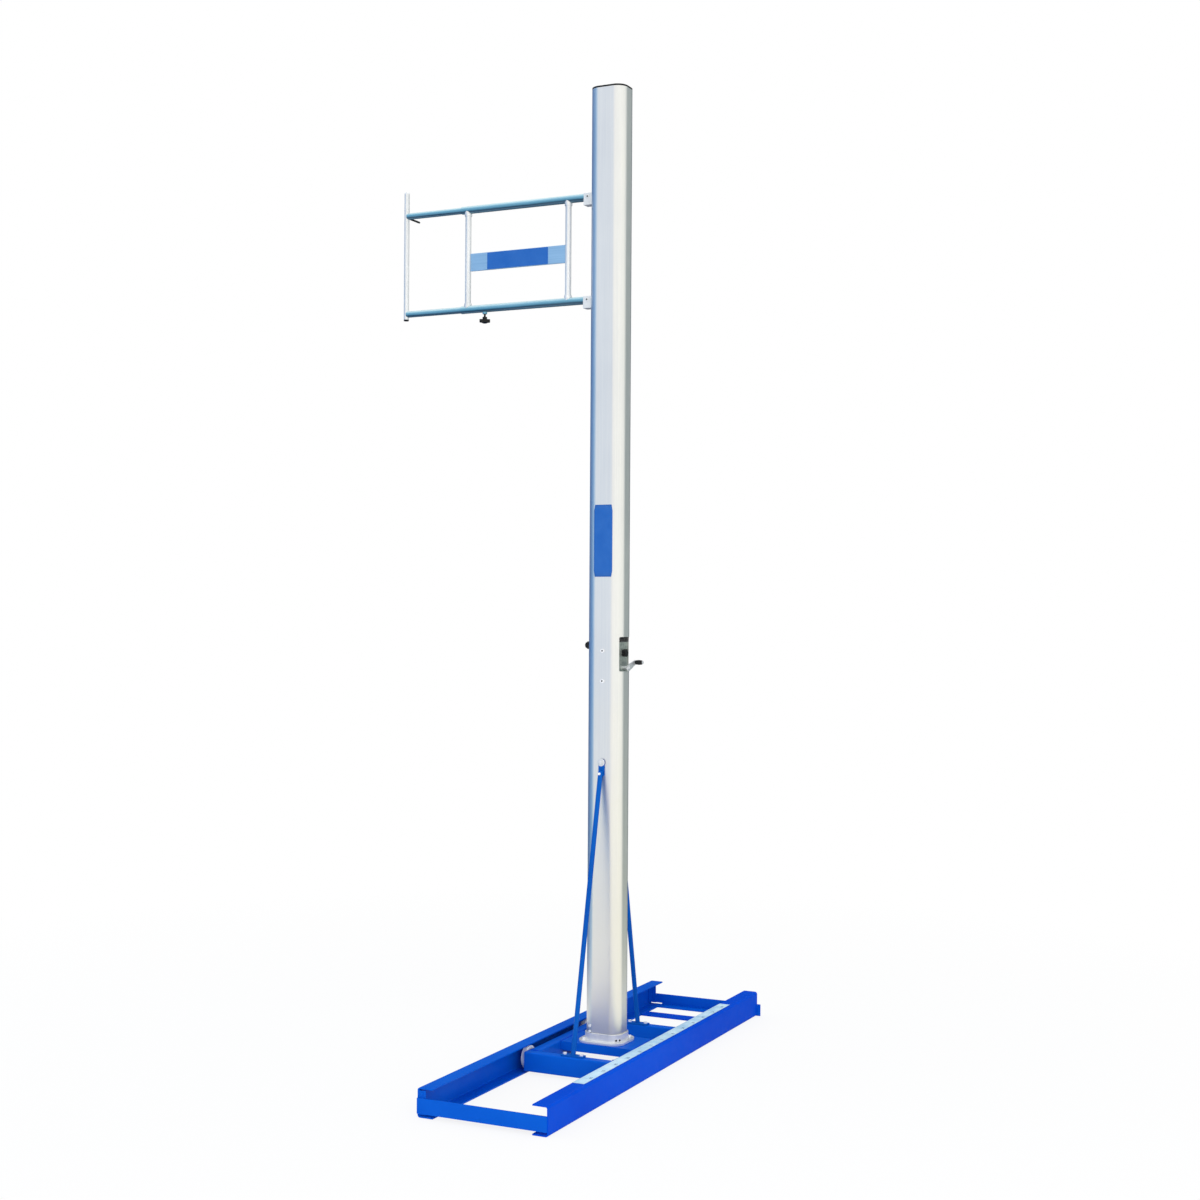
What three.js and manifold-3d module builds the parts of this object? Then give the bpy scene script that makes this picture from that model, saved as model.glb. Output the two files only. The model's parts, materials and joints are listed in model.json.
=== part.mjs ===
// Rolling pole vault standard: a rail base, a wheeled carriage, a slotted mast with a hand winch,
// and a telescoping arm that carries the peg for the crossbar. Millimetres, +Z up, rails along Y.
// The arm reaches towards -X, the landing side is +Y, and the crank is on the +X side.
import * as THREE from 'three';
import { mergeVertices } from 'three/addons/utils/BufferGeometryUtils.js';
import Module from 'manifold-3d';

const wasm = await Module();
wasm.setup();

// Clearances and drawing steps
const seatGap = 0.3;
const overrun = 2;
const arcSteps = 3;
const wideArcSteps = 8;
const wideCorner = 30;
const samePoint = 0.001;
const tubeSides = 20;
const boltSides = 12;
const wheelSides = 36;

// Base frame
const baseWidth = 490;
const baseLength = 1900;
const railHeight = 100;
const railFlange = 58;
const railWall = 5;
const railCorner = 10;
const frontBarHeight = 52;
const frontBarRise = 14;
const rearBarHeight = 48;
const rearBarReach = 13;
const endBarLeg = 50;
const endBarWall = 5;
const tieWidth = 65;
const tieThickness = 5;
const tieSetback = 155;
const tapeWidth = 44;
const tapeLength = 1330;
const tapeThickness = 0.8;
const tapeInset = 13;
const stopLeg = 25;
const stopWall = 4;
const stopBoltRadius = 5;
const stopBoltHeight = 3;
const stopBoltPitch = 14;

// Carriage
const beamSpacing = 570;
const beamDepth = 40;
const beamHeight = 70;
const beamWall = 3;
const beamCorner = 6;
const beamTop = 80;
const beamReach = 187;
const saddleLength = 184;
const saddleTop = 78;
const saddleThickness = 5;
const saddleLip = 32;
const wheelRadius = 42;
const wheelWidth = 20;
const wheelSideGap = 5;
const wheelBase = 486;
const wheelTreadEdge = 2;
const wheelHubRadius = 17;
const wheelRimShare = 0.8;
const wheelWebShare = 0.5;
const axleRadius = 8;
const axleHeadRadius = 13;
const axleHeadHeight = 6;
const axleWasherRadius = 13;
const axleWasherThickness = 2.5;

// Mast and its foot
const mastWidth = 142;
const mastDepth = 114;
const mastCorner = 40;
const mastWall = 4;
const mastTop = 3640;
const capThickness = 6;
const capPlug = 14;
const capPlugWall = 5;
const slotWidth = 16;
const slotBottom = 1640;
const slotHeadroom = 80;
const footWidth = 184;
const footDepth = 170;
const footCorner = 50;
const footThickness = 8;
const collarWall = 5;
const collarHeight = 26;
const footBoltRadius = 6;
const footBoltHeight = 6;
const footBoltAcross = 136;
const footBoltAlong = 110;
const collarScrewRadius = 5;
const collarScrewHeight = 3;
const collarScrewSpread = 9;
const collarScrewDrop = 19;
const cornerBoltRadius = 5;
const cornerBoltHeight = 3.5;
const cornerBoltRise = 5.5;
const cornerBoltPitch = 20;

// Stays between the carriage beams and the mast
const stayRadius = 9;
const stayTabWidth = 23;
const stayTabThickness = 5;
const stayTabCornerShare = 0.33;
const stayTopHeight = 1119;
const stayTabDrop = 52;
const stayTabRise = 11;
const stayPinRadius = 5;
const stayPinHead = 5;
const stayPinRise = 11;
const stayFootWidth = 92;
const stayFootLength = 30;
const stayFootReach = 281;
const stayFootCorner = 6;
const stayBoltPitch = 66;
const stayBoltRadius = 7;
const stayBoltHeight = 6;
const stayBoltShank = 5;
const stayBoltDepth = 14;
const stayWasherRadius = 14.5;
const stayWasherThickness = 2.5;

// Hand winch behind the window
const windowWidth = 84;
const windowHeight = 127.6;
const windowCentre = 1520.8;
const windowCorner = 4;
const winchAxleHeight = 1470;
const winchPlateThickness = 3;
const winchPlateBottom = 1405;
const winchPlateTop = 1566;
const winchOuterInset = 13;
const winchInnerCheek = 9;
const winchCheekReach = 40;
const winchInnerCheekReach = 20;
const winchBendInset = 44;
const winchBendRise = 13;
const winchBackReach = 25;
const winchScrewHeights = [1421, 1533];
const winchScrewRadius = 4;
const winchScrewHead = 7;
const winchScrewHeadHeight = 3.5;
const drumWidth = 38;
const drumSideGap = 1.5;
const drumRadius = 20;
const drumFlangeRadius = 30;
const drumFlangeThickness = 4;
const crankShaftRadius = 7;
const crankShaftTail = 5;
const crankShaftStub = 4;
const crankArmPlane = 79;
const crankArmLength = 58;
const crankArmRise = 19;
const crankArmThickness = 5;
const crankBossRadius = 12;
const crankTipRadius = 8;
const crankPinRadius = 4;
const crankPinHead = 6;
const crankPinHeadHeight = 2.5;
const gripLength = 28;
const gripEndRadius = 8;
const gripWaistRadius = 9;
const gripNeckShare = 0.8;
const gripShoulderShare = 0.85;
const gripWaistShares = [0.2, 0.3];
const brakeHeight = 1525;
const brakeKnobRadius = 15;
const brakeKnobThickness = 14;
const brakeKnobStandoff = 1.5;
const brakeStemRadius = 4;
const brakeStemLength = 14;
const lobeCount = 5;
const lobeDepthShare = 0.12;

// Lift cable and head pulley
const cableRadius = 1.75;
const cableSides = 8;
const cableArcSteps = 14;
const cableUpOffset = 20;
const pulleyRadius = 27;
const pulleyRim = 5;
const pulleyRimShare = 0.8;
const pulleySides = 28;
const pulleyWidth = 12;
const pulleyDrop = 70;
const pulleyAxleRadius = 5;
const pulleyCheekThickness = 4;
const pulleyCheekWidth = 34;
const pulleyCheekGap = 1;

// Locking knob on the back of the mast, with its nut block inside
const lockHeight = 1552;
const lockKnobRadius = 15;
const lockKnobThickness = 14;
const lockKnobNose = 5;
const lockNoseShare = 0.55;
const lockCollarShare = 0.6;
const lockStemRadius = 4;
const lockKnobStandoff = 6;
const lockBlockLength = 40;
const lockBlockWidth = 28;
const lockBlockThickness = 10;

// Slider and the fixed half of the arm
const armDrop = 398.5;
const tubeSpacing = 389;
const sliderWidth = 32;
const sliderThickness = 10;
const sliderOverhang = 50;
const guidePadLength = 30;
const guidePadThickness = 2;
const sliderLugReach = 26;
const sliderLugWidth = 12;
const sliderLugHeight = 30;
const tongueWidth = 15;
const tongueHeight = 30;
const bracketAbove = 13;
const bracketBelow = 32;
const bracketLength = 38;
const bracketCheek = 2.2;
const bracketWeb = 6;
const bracketFloor = 3;
const bracketBoltRadius = 4;
const bracketBoltHead = 7;
const bracketBoltHeadHeight = 3;
const bracketBoltReach = 21;
const sleeveRadius = 15;
const sleeveWall = 2;
const sleeveStart = 84;
const sleeveEnd = 645;
const uprightRadius = 11.5;
const uprightWall = 2;
const uprightFittingRadius = 14.5;
const uprightFittingHeight = 9;
const innerUprightReach = 181;
const outerUprightReach = 618;
const signHeight = 68;
const signThickness = 3;
const signLip = 7;
const signDrop = 205.5;

// Sliding half of the arm
const innerClearance = 0.5;
const innerWall = 2;
const innerStart = 370;
const endTubeReach = 899;
const endTubeRadius = 10;
const endTubeWall = 2;
const endTubeRise = 90.5;
const endTubeDrop = 20.5;
const endCapThickness = 5;
const endCapPlug = 12;
const pegRadius = 4;
const pegLength = 84;
const pegDrop = 4;

// Clamp screw under the lower sleeve
const clampReach = 542;
const clampBossRadius = 9;
const clampBossHeight = 7;
const clampStemRadius = 4;
const clampKnobRadius = 23;
const clampKnobThickness = 12;
const clampHubRadius = 9;
const clampHubHeight = 10;
const clampKnobDrop = 55.4;
const clampLobes = 3;
const clampLobeShare = 0.24;

// Colours and finishes
const paint = { color: 0x0a48d6, roughness: 0.35, metalness: 0.1 };
const anodised = { color: 0xd9dcdc, roughness: 0.3, metalness: 0.9 };
const tubeAluminium = { color: 0xaebfc9, roughness: 0.28, metalness: 0.9 };
const zinc = { color: 0xc9ced2, roughness: 0.3, metalness: 0.9 };
const nylon = { color: 0xe6e8ea, roughness: 0.5, metalness: 0 };
const blackPlastic = { color: 0x101114, roughness: 0.45, metalness: 0 };
const steelRope = { color: 0x8d9296, roughness: 0.4, metalness: 0.8 };
const tapeFilm = { color: 0xcfe6f2, roughness: 0.5, metalness: 0 };

// Solids and booleans
function solid(geometry) {
  const bare = geometry.clone();
  bare.deleteAttribute('normal');
  bare.deleteAttribute('uv');
  const merged = mergeVertices(bare);
  return new wasm.Manifold(new wasm.Mesh({
    numProp: 3,
    vertProperties: new Float32Array(merged.attributes.position.array),
    triVerts: new Uint32Array(merged.index.array),
  }));
}

function geometry(manifold) {
  const mesh = manifold.getMesh();
  const result = new THREE.BufferGeometry();
  result.setAttribute('position', new THREE.BufferAttribute(new Float32Array(mesh.vertProperties), 3));
  result.setIndex(new THREE.BufferAttribute(new Uint32Array(mesh.triVerts), 1));
  result.computeVertexNormals();
  return result;
}

function join(first, ...others) {
  return geometry(others.reduce((sum, other) => sum.add(solid(other)), solid(first)));
}

function cut(first, ...tools) {
  return geometry(tools.reduce((rest, tool) => rest.subtract(solid(tool)), solid(first)));
}

// Outlines
function disc(radius, sides, centreX = 0, centreY = 0) {
  const half = Math.PI / sides;
  const corners = Array.from({ length: sides }, (_, i) => new THREE.Vector2(
    centreX + radius * Math.cos(half * (2 * i + 1)),
    centreY + radius * Math.sin(half * (2 * i + 1)),
  ));
  return new THREE.Shape(corners);
}

function roundRect(width, height, radius, centreX = 0, centreY = 0) {
  const x = width / 2;
  const y = height / 2;
  const r = Math.min(radius, x, y);
  const steps = r < wideCorner ? arcSteps : wideArcSteps;
  const corners = [[x - r, y - r], [r - x, y - r], [r - x, r - y], [x - r, r - y]];
  const points = corners.flatMap(([cornerX, cornerY], quarter) => (
    Array.from({ length: steps + 1 }, (_, i) => {
      const angle = ((quarter + i / steps) * Math.PI) / 2;
      return new THREE.Vector2(
        centreX + cornerX + r * Math.cos(angle),
        centreY + cornerY + r * Math.sin(angle),
      );
    })
  ));
  return new THREE.Shape(points.filter((p, i) => p.distanceTo(points.at(i - 1)) > samePoint));
}

function rectangle(x0, x1, y0, y1) {
  return new THREE.Shape([
    new THREE.Vector2(x0, y0),
    new THREE.Vector2(x1, y0),
    new THREE.Vector2(x1, y1),
    new THREE.Vector2(x0, y1),
  ]);
}

function withHole(shape, hole) {
  shape.holes.push(hole);
  return shape;
}

// A bent strip of sheet: its centre line is offset to both sides and mitred at the bends
function strip(points, thickness) {
  const half = thickness / 2;
  const line = points.map(([x, y]) => new THREE.Vector2(x, y));
  const normals = line.slice(1).map((p, i) => {
    const along = p.clone().sub(line[i]).normalize();
    return new THREE.Vector2(-along.y, along.x);
  });
  const side = (sign) => line.map((p, i) => {
    const before = normals[Math.max(i - 1, 0)];
    const after = normals[Math.min(i, normals.length - 1)];
    const mitre = before.clone().add(after).normalize();
    return p.clone().addScaledVector(mitre, (sign * half) / mitre.dot(after));
  });
  return new THREE.Shape([...side(1), ...side(-1).reverse()]);
}

// A round knob outline with shallow hollows between its lobes
function lobedDisc(radius, lobes, depthShare) {
  const stepsPerLobe = 8;
  const count = lobes * stepsPerLobe;
  const corners = Array.from({ length: count }, (_, i) => {
    const angle = (2 * Math.PI * i) / count;
    const r = radius * (1 - depthShare + depthShare * Math.cos(lobes * angle));
    return new THREE.Vector2(r * Math.cos(angle), r * Math.sin(angle));
  });
  return new THREE.Shape(corners);
}

// Straight extrusions between two places on an axis
function extrude(shape, length) {
  return new THREE.ExtrudeGeometry(shape, { depth: length, bevelEnabled: false, curveSegments: arcSteps });
}

// Outline drawn in Y and Z, run from x0 to x1
function alongX(shape, x0, x1) {
  const turn = new THREE.Matrix4().makeBasis(
    new THREE.Vector3(0, 1, 0),
    new THREE.Vector3(0, 0, 1),
    new THREE.Vector3(1, 0, 0),
  );
  return extrude(shape, x1 - x0).applyMatrix4(turn).translate(x0, 0, 0);
}

// Outline drawn in X and Z, run from y0 to y1
function alongY(shape, y0, y1) {
  return extrude(shape, y1 - y0).rotateX(Math.PI / 2).translate(0, y1, 0);
}

// Outline drawn in X and Y, run from z0 to z1
function alongZ(shape, z0, z1) {
  return extrude(shape, z1 - z0).translate(0, 0, z0);
}

function block(x0, x1, y0, y1, z0, z1) {
  return alongZ(rectangle(x0, x1, y0, y1), z0, z1);
}

// A closed profile of radius and height, turned about the Z axis
function turned(points, sides) {
  const profile = points.map(([r, z]) => new THREE.Vector2(r, z));
  profile.push(profile[0].clone());
  return new THREE.LatheGeometry(profile, sides).rotateX(Math.PI / 2);
}

// A round or hexagonal pin that points away from a vertical axis, between two distances from it
function radialPin(radius, sides, from, to, degrees, centreX, centreY, height) {
  return alongX(disc(radius, sides, 0, height), from, to)
    .rotateZ(THREE.MathUtils.degToRad(degrees))
    .translate(centreX, centreY, 0);
}

// A round rod between two places, drawn on past the first by an extra length
function leaningRod(radius, sides, extra, from, to) {
  const along = to.clone().sub(from);
  const up = new THREE.Vector3(0, 0, 1);
  const turn = new THREE.Quaternion().setFromUnitVectors(up, along.clone().normalize());
  return alongZ(disc(radius, sides), -extra, along.length())
    .applyQuaternion(turn)
    .translate(from.x, from.y, from.z);
}

function tubeOutline(radius, wall, x = 0, y = 0) {
  return withHole(disc(radius, tubeSides, x, y), disc(radius - wall, tubeSides, x, y));
}

function hexagon(radius, x = 0, y = 0) {
  const sides = 6;
  return disc(radius, sides, x, y);
}

// Derived places
const railOuter = baseWidth / 2;
const railInner = railOuter - railWall;
const railTip = railOuter - railFlange;
const baseEnd = baseLength / 2;
const railEnd = baseEnd - endBarWall - seatGap;
const railFillet = railCorner - railWall;
const beamCentre = beamSpacing / 2;
const beamMiddle = beamTop - beamHeight / 2;
const sideMemberInner = beamReach - beamDepth;
const wheelAxle = railWall + seatGap + wheelRadius;
const wheelInner = beamReach + wheelSideGap;
const wheelOuter = wheelInner + wheelWidth;
const wheelCentre = wheelBase / 2;
const mastBottom = saddleTop + seatGap;
const mastFaceX = mastWidth / 2;
const mastFaceY = mastDepth / 2;
const mastInnerX = mastFaceX - mastWall;
const mastInnerY = mastFaceY - mastWall;
const mastCornerX = mastFaceX - mastCorner;
const mastCornerY = mastFaceY - mastCorner;
const collarTop = mastBottom + footThickness + collarHeight;
const collarReach = mastCorner + seatGap + collarWall;
const slotTop = mastTop - slotHeadroom;
const upperTubeHeight = mastTop - armDrop;
const lowerTubeHeight = upperTubeHeight - tubeSpacing;
const pulleyHeight = mastTop - capThickness - pulleyDrop;
const pulleyX = cableUpOffset - pulleyRadius;
const cableDownX = pulleyX - pulleyRadius;
const drumPitch = drumRadius + cableRadius;
const innerRadius = sleeveRadius - sleeveWall - innerClearance;
const bracketHalf = sleeveRadius + seatGap + bracketCheek;
const sliderFace = -mastInnerX + seatGap;

// Base frame pieces
function railOutline() {
  const r = railCorner;
  const inner = Math.max(railCorner - railWall, railWall / 2);
  const shape = new THREE.Shape();
  shape.moveTo(railTip, 0);
  shape.lineTo(railOuter - r, 0);
  shape.absarc(railOuter - r, r, r, -Math.PI / 2, 0);
  shape.absarc(railOuter - r, railHeight - r, r, 0, Math.PI / 2);
  shape.lineTo(railTip, railHeight);
  shape.lineTo(railTip, railHeight - railWall);
  shape.absarc(railInner - inner, railHeight - railWall - inner, inner, Math.PI / 2, 0, true);
  shape.absarc(railInner - inner, railWall + inner, inner, 0, -Math.PI / 2, true);
  shape.lineTo(railTip, railWall);
  shape.closePath();
  return shape;
}

// One rail covers the end of neither bar: each end bar laps one rail and butts against the other
function rail() {
  return alongY(railOutline(), -baseEnd, railEnd);
}

// Angle across the front: its upright leg laps the far rail and stops against the near rail's web
function frontBar() {
  const mid = endBarWall / 2;
  const upright = [-baseEnd + mid, frontBarRise + frontBarHeight];
  const corner = [-baseEnd + mid, frontBarRise + mid];
  const leg = [-baseEnd + endBarLeg, frontBarRise + mid];
  const bar = alongX(strip([leg, corner, upright], endBarWall), -railOuter, railInner - seatGap);
  const clearNear = block(railTip - seatGap, railOuter, -railEnd - seatGap, 0, 0, railHeight);
  const clearFar = block(-railOuter - overrun, -railTip + seatGap, -railEnd - seatGap, 0, 0, railHeight);
  return cut(bar, clearNear, clearFar);
}

// Angle across the rear, on the floor: it laps the near rail and stops against the far rail's web
function rearBar() {
  const mid = endBarWall / 2;
  const upright = [baseEnd - mid, rearBarHeight];
  const corner = [baseEnd - mid, mid];
  const leg = [baseEnd - endBarLeg, mid];
  const farEnd = -railInner + seatGap;
  const nearEnd = railOuter + rearBarReach;
  const bar = alongX(strip([leg, corner, upright], endBarWall), farEnd, nearEnd);
  const faceLow = railEnd + seatGap;
  const clearNear = block(railTip - seatGap, nearEnd + overrun, 0, faceLow, -overrun, railHeight);
  const clearFar = block(-railOuter, -railTip + seatGap, 0, faceLow, -overrun, railHeight);
  const farToe = block(-railOuter, -railTip + seatGap, 0, baseEnd + overrun, -overrun, railWall + railFillet);
  return cut(bar, clearNear, clearFar, farToe);
}

function floorTie() {
  const rear = baseEnd - tieSetback;
  return block(-railTip + seatGap, railTip - seatGap, rear - tieWidth, rear, 0, tieThickness);
}

function measuringTape() {
  const outer = railOuter - tapeInset;
  const base = railHeight + seatGap;
  return block(outer - tapeWidth, outer, -tapeLength / 2, tapeLength / 2, base, base + tapeThickness);
}

// Upright angle in the end of a rail, drawn for the front end of the near rail
function endStop() {
  const low = railWall + railFillet;
  const high = railHeight - railWall - railFillet;
  const face = railInner - seatGap;
  const end = -railEnd + seatGap;
  const mid = stopWall / 2;
  const toe = [face - stopLeg, end + mid];
  const corner = [face - mid, end + mid];
  const heel = [face - mid, end + stopLeg];
  const angle = alongZ(strip([toe, corner, heel], stopWall), low, high);
  const boltX = face - stopLeg / 2;
  const bolts = [0, 1].map((row) => alongY(
    hexagon(stopBoltRadius, boltX, high - row * stopBoltPitch - stopBoltRadius * 2),
    end - stopBoltHeight,
    end + mid,
  ));
  const cutFront = block(0, railOuter, end - railHeight, end, 0, frontBarRise + frontBarHeight + seatGap);
  return cut(join(angle, ...bolts), cutFront);
}

// Carriage pieces
function boxOutline() {
  return withHole(
    roundRect(beamDepth, beamHeight, beamCorner, 0, beamMiddle),
    roundRect(beamDepth - 2 * beamWall, beamHeight - 2 * beamWall, beamCorner - beamWall, 0, beamMiddle),
  );
}

function beam() {
  return alongX(boxOutline(), -beamReach, beamReach);
}

// Box section along the inside of a rail, with holes for the two wheel axles
function sideMember() {
  const reach = beamCentre - beamDepth / 2 - seatGap;
  const middle = beamReach - beamDepth / 2;
  const box = alongY(boxOutline(), -reach, reach).translate(middle, 0, 0);
  const holes = [-1, 1].map((end) => alongX(
    disc(axleRadius + seatGap, tubeSides, end * wheelCentre, wheelAxle),
    sideMemberInner - overrun,
    beamReach + overrun,
  ));
  return cut(box, ...holes);
}

// Inverted channel between the side members: its plate carries the mast and its lips hang down
function saddle() {
  const side = sideMemberInner - seatGap;
  const half = saddleLength / 2 - saddleThickness / 2;
  const top = saddleTop - saddleThickness / 2;
  const bottom = saddleTop - saddleLip;
  const outline = strip([[-half, bottom], [-half, top], [half, top], [half, bottom]], saddleThickness);
  return alongX(outline, -side, side);
}

// Bolt that carries a wheel: head inside the side member, washer outside the wheel
function axle() {
  const headEnd = sideMemberInner - seatGap;
  const washer = wheelOuter + seatGap;
  const start = headEnd - axleHeadHeight;
  const end = washer + axleWasherThickness;
  const pin = alongX(disc(axleRadius, tubeSides, 0, wheelAxle), start, end);
  const head = alongX(hexagon(axleHeadRadius, 0, wheelAxle), start, headEnd);
  const disk = alongX(disc(axleWasherRadius, tubeSides, 0, wheelAxle), washer, end);
  return join(pin, head, disk);
}

// Nylon roller with a dished web on both sides
function wheel() {
  const half = wheelWidth / 2;
  const bore = axleRadius + seatGap;
  const rimInner = wheelRadius * wheelRimShare;
  const web = half * wheelWebShare;
  const edge = wheelRadius - wheelTreadEdge;
  const tread = half - wheelTreadEdge;
  const profile = [
    [bore, -half], [wheelHubRadius, -half], [wheelHubRadius, -web], [rimInner, -web],
    [rimInner, -half], [edge, -half], [wheelRadius, -tread], [wheelRadius, tread],
    [edge, half], [rimInner, half], [rimInner, web], [wheelHubRadius, web],
    [wheelHubRadius, half], [bore, half],
  ];
  return turned(profile, wheelSides).rotateY(Math.PI / 2);
}

// Stay, drawn for the front: tab on the mast, rod pinned to the tab's lower end, bolted foot
function stay() {
  const face = -mastFaceY - seatGap;
  const tabBack = face - stayTabThickness;
  const tabTop = stayTopHeight + stayTabRise;
  const tabBottom = stayTopHeight - stayTabDrop;
  const corner = stayTabWidth * stayTabCornerShare;
  const tabOutline = roundRect(stayTabWidth, tabTop - tabBottom, corner, 0, (tabTop + tabBottom) / 2);
  const tab = alongY(tabOutline, tabBack, face);
  const footBase = beamTop + seatGap;
  const footTop = footBase + stayTabThickness;
  const footOutline = roundRect(stayFootWidth, stayFootLength, stayFootCorner, 0, -stayFootReach);
  const foot = alongZ(footOutline, footBase, footTop);
  const top = new THREE.Vector3(0, tabBack - stayRadius / 2, tabBottom + stayPinRise + stayRadius);
  const bottom = new THREE.Vector3(0, -stayFootReach, footBase + stayTabThickness / 2);
  const rod = leaningRod(stayRadius, boltSides, stayRadius, bottom, top);
  const trimmed = cut(
    rod,
    block(-stayTabWidth, stayTabWidth, face, 0, 0, mastTop),
    block(-stayFootWidth, stayFootWidth, -beamCentre * 2, 0, 0, footBase),
  );
  const pinFace = tabBack - stayRadius / 2 - stayRadius;
  const pin = alongY(hexagon(stayPinRadius, 0, tabBottom + stayPinRise), pinFace - stayPinHead, tabBack);
  const footBolts = [-1, 1].map((side) => alongZ(
    hexagon(stayBoltRadius, (side * stayBoltPitch) / 2, -stayFootReach),
    footBase + stayTabThickness / 2,
    footTop + stayBoltHeight,
  ));
  const boltHole = alongY(disc(stayBoltShank + seatGap, boltSides, 0, stayTopHeight), tabBack - overrun, 0);
  return cut(join(tab, trimmed, foot, pin, ...footBolts), boltHole);
}

// Bolt and washer that hold a stay's tab against the mast, drawn for the front
function stayBolt() {
  const tabBack = -mastFaceY - stayTabThickness - 2 * seatGap;
  const washerBack = tabBack - stayWasherThickness;
  const head = alongY(hexagon(stayBoltRadius, 0, stayTopHeight), washerBack - stayBoltHeight, washerBack);
  const washer = alongY(disc(stayWasherRadius, tubeSides, 0, stayTopHeight), washerBack, tabBack);
  const shank = alongY(disc(stayBoltShank, boltSides, 0, stayTopHeight), washerBack, tabBack + stayBoltDepth);
  return join(head, washer, shank);
}

// Mast pieces
// Flanged collar: hexagon bolts on one diagonal of the flange, two screws in the collar's corner
function mastFoot() {
  const flangeTop = mastBottom + footThickness;
  const flange = alongZ(roundRect(footWidth, footDepth, footCorner), mastBottom, flangeTop);
  const collarWidth = mastWidth + 2 * (seatGap + collarWall);
  const collarDepth = mastDepth + 2 * (seatGap + collarWall);
  const collar = alongZ(roundRect(collarWidth, collarDepth, collarReach), mastBottom, collarTop);
  const bolts = [-1, 1].map((side) => alongZ(
    hexagon(footBoltRadius, (side * footBoltAcross) / 2, (side * footBoltAlong) / 2),
    flangeTop - footThickness / 2,
    flangeTop + footBoltHeight,
  ));
  const screwHeight = collarTop - collarScrewDrop;
  const corner = -39;
  const screws = [-1, 1].map((side) => radialPin(
    collarScrewRadius,
    boltSides,
    collarReach - collarWall / 2,
    collarReach + collarScrewHeight,
    corner + side * collarScrewSpread,
    mastCornerX,
    -mastCornerY,
    screwHeight,
  ));
  const bore = alongZ(
    roundRect(mastWidth + 2 * seatGap, mastDepth + 2 * seatGap, mastCorner + seatGap),
    mastBottom - overrun,
    collarTop + overrun,
  );
  return cut(join(flange, collar, ...bolts, ...screws), bore);
}

// Slotted column with the winch window, the screw holes and two corner bolts above the collar
function mast() {
  const wallOutline = withHole(
    roundRect(mastWidth, mastDepth, mastCorner),
    roundRect(mastWidth - 2 * mastWall, mastDepth - 2 * mastWall, mastCorner - mastWall),
  );
  const tube = alongZ(wallOutline, mastBottom, mastTop - capThickness - seatGap);
  const window = alongX(
    roundRect(windowWidth, windowHeight, windowCorner, 0, windowCentre),
    mastCornerX,
    mastFaceX + overrun,
  );
  const slot = alongX(
    roundRect(slotWidth, slotTop - slotBottom, slotWidth / 2, 0, (slotTop + slotBottom) / 2),
    -mastFaceX - overrun,
    -mastInnerX + overrun,
  );
  const lockHole = alongX(
    disc(lockStemRadius + seatGap, boltSides, 0, lockHeight),
    -mastFaceX - overrun,
    -mastInnerX + overrun,
  );
  const screwHoles = winchScrewHeights.map((height) => alongY(
    disc(winchScrewRadius + seatGap, boltSides, 0, height),
    -mastFaceY - overrun,
    -mastInnerY + overrun,
  ));
  const stayHole = alongY(
    disc(stayBoltShank + seatGap, boltSides, 0, stayTopHeight),
    -mastFaceY - overrun,
    mastFaceY + overrun,
  );
  const corner = -109;
  const cornerBolts = [0, 1].map((row) => radialPin(
    cornerBoltRadius,
    boltSides,
    mastCorner - mastWall / 2,
    mastCorner + cornerBoltHeight,
    corner,
    -mastCornerX,
    -mastCornerY,
    collarTop + cornerBoltRise + row * cornerBoltPitch,
  ));
  return cut(join(tube, ...cornerBolts), window, slot, lockHole, stayHole, ...screwHoles);
}

function mastCap() {
  const top = alongZ(roundRect(mastWidth, mastDepth, mastCorner), mastTop - capThickness, mastTop);
  const plugWidth = mastWidth - 2 * (mastWall + seatGap);
  const plugDepth = mastDepth - 2 * (mastWall + seatGap);
  const plugCorner = mastCorner - mastWall - seatGap;
  const plug = alongZ(
    withHole(
      roundRect(plugWidth, plugDepth, plugCorner),
      roundRect(plugWidth - 2 * capPlugWall, plugDepth - 2 * capPlugWall, plugCorner - capPlugWall),
    ),
    mastTop - capThickness - capPlug,
    mastTop - capThickness / 2,
  );
  return join(top, plug);
}

// Fork under the cap: two cheeks, a web and the pulley's axle
function pulleyBracket() {
  const mid = pulleyCheekThickness / 2;
  const cheek = pulleyWidth / 2 + pulleyCheekGap + mid;
  const top = mastTop - capThickness - seatGap - mid;
  const bottom = pulleyHeight - pulleyCheekWidth / 2;
  const fork = alongX(
    strip([[-cheek, bottom], [-cheek, top], [cheek, top], [cheek, bottom]], pulleyCheekThickness),
    pulleyX - pulleyCheekWidth / 2,
    pulleyX + pulleyCheekWidth / 2,
  );
  const axlePin = alongY(disc(pulleyAxleRadius, boltSides, pulleyX, pulleyHeight), -cheek - mid, cheek + mid);
  return join(fork, axlePin);
}

// Grooved wheel, turned about its own axis along Y
function pulley() {
  const half = pulleyWidth / 2;
  const bore = pulleyAxleRadius + seatGap;
  const groove = pulleyRadius - cableRadius - seatGap;
  const rim = pulleyRadius + pulleyRim;
  const lip = half * pulleyRimShare;
  const throat = cableRadius + seatGap;
  const profile = [
    [bore, -half], [rim, -half], [rim, -lip], [groove, -throat],
    [groove, throat], [rim, lip], [rim, half], [bore, half],
  ];
  return turned(profile, pulleySides).rotateX(Math.PI / 2);
}

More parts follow.
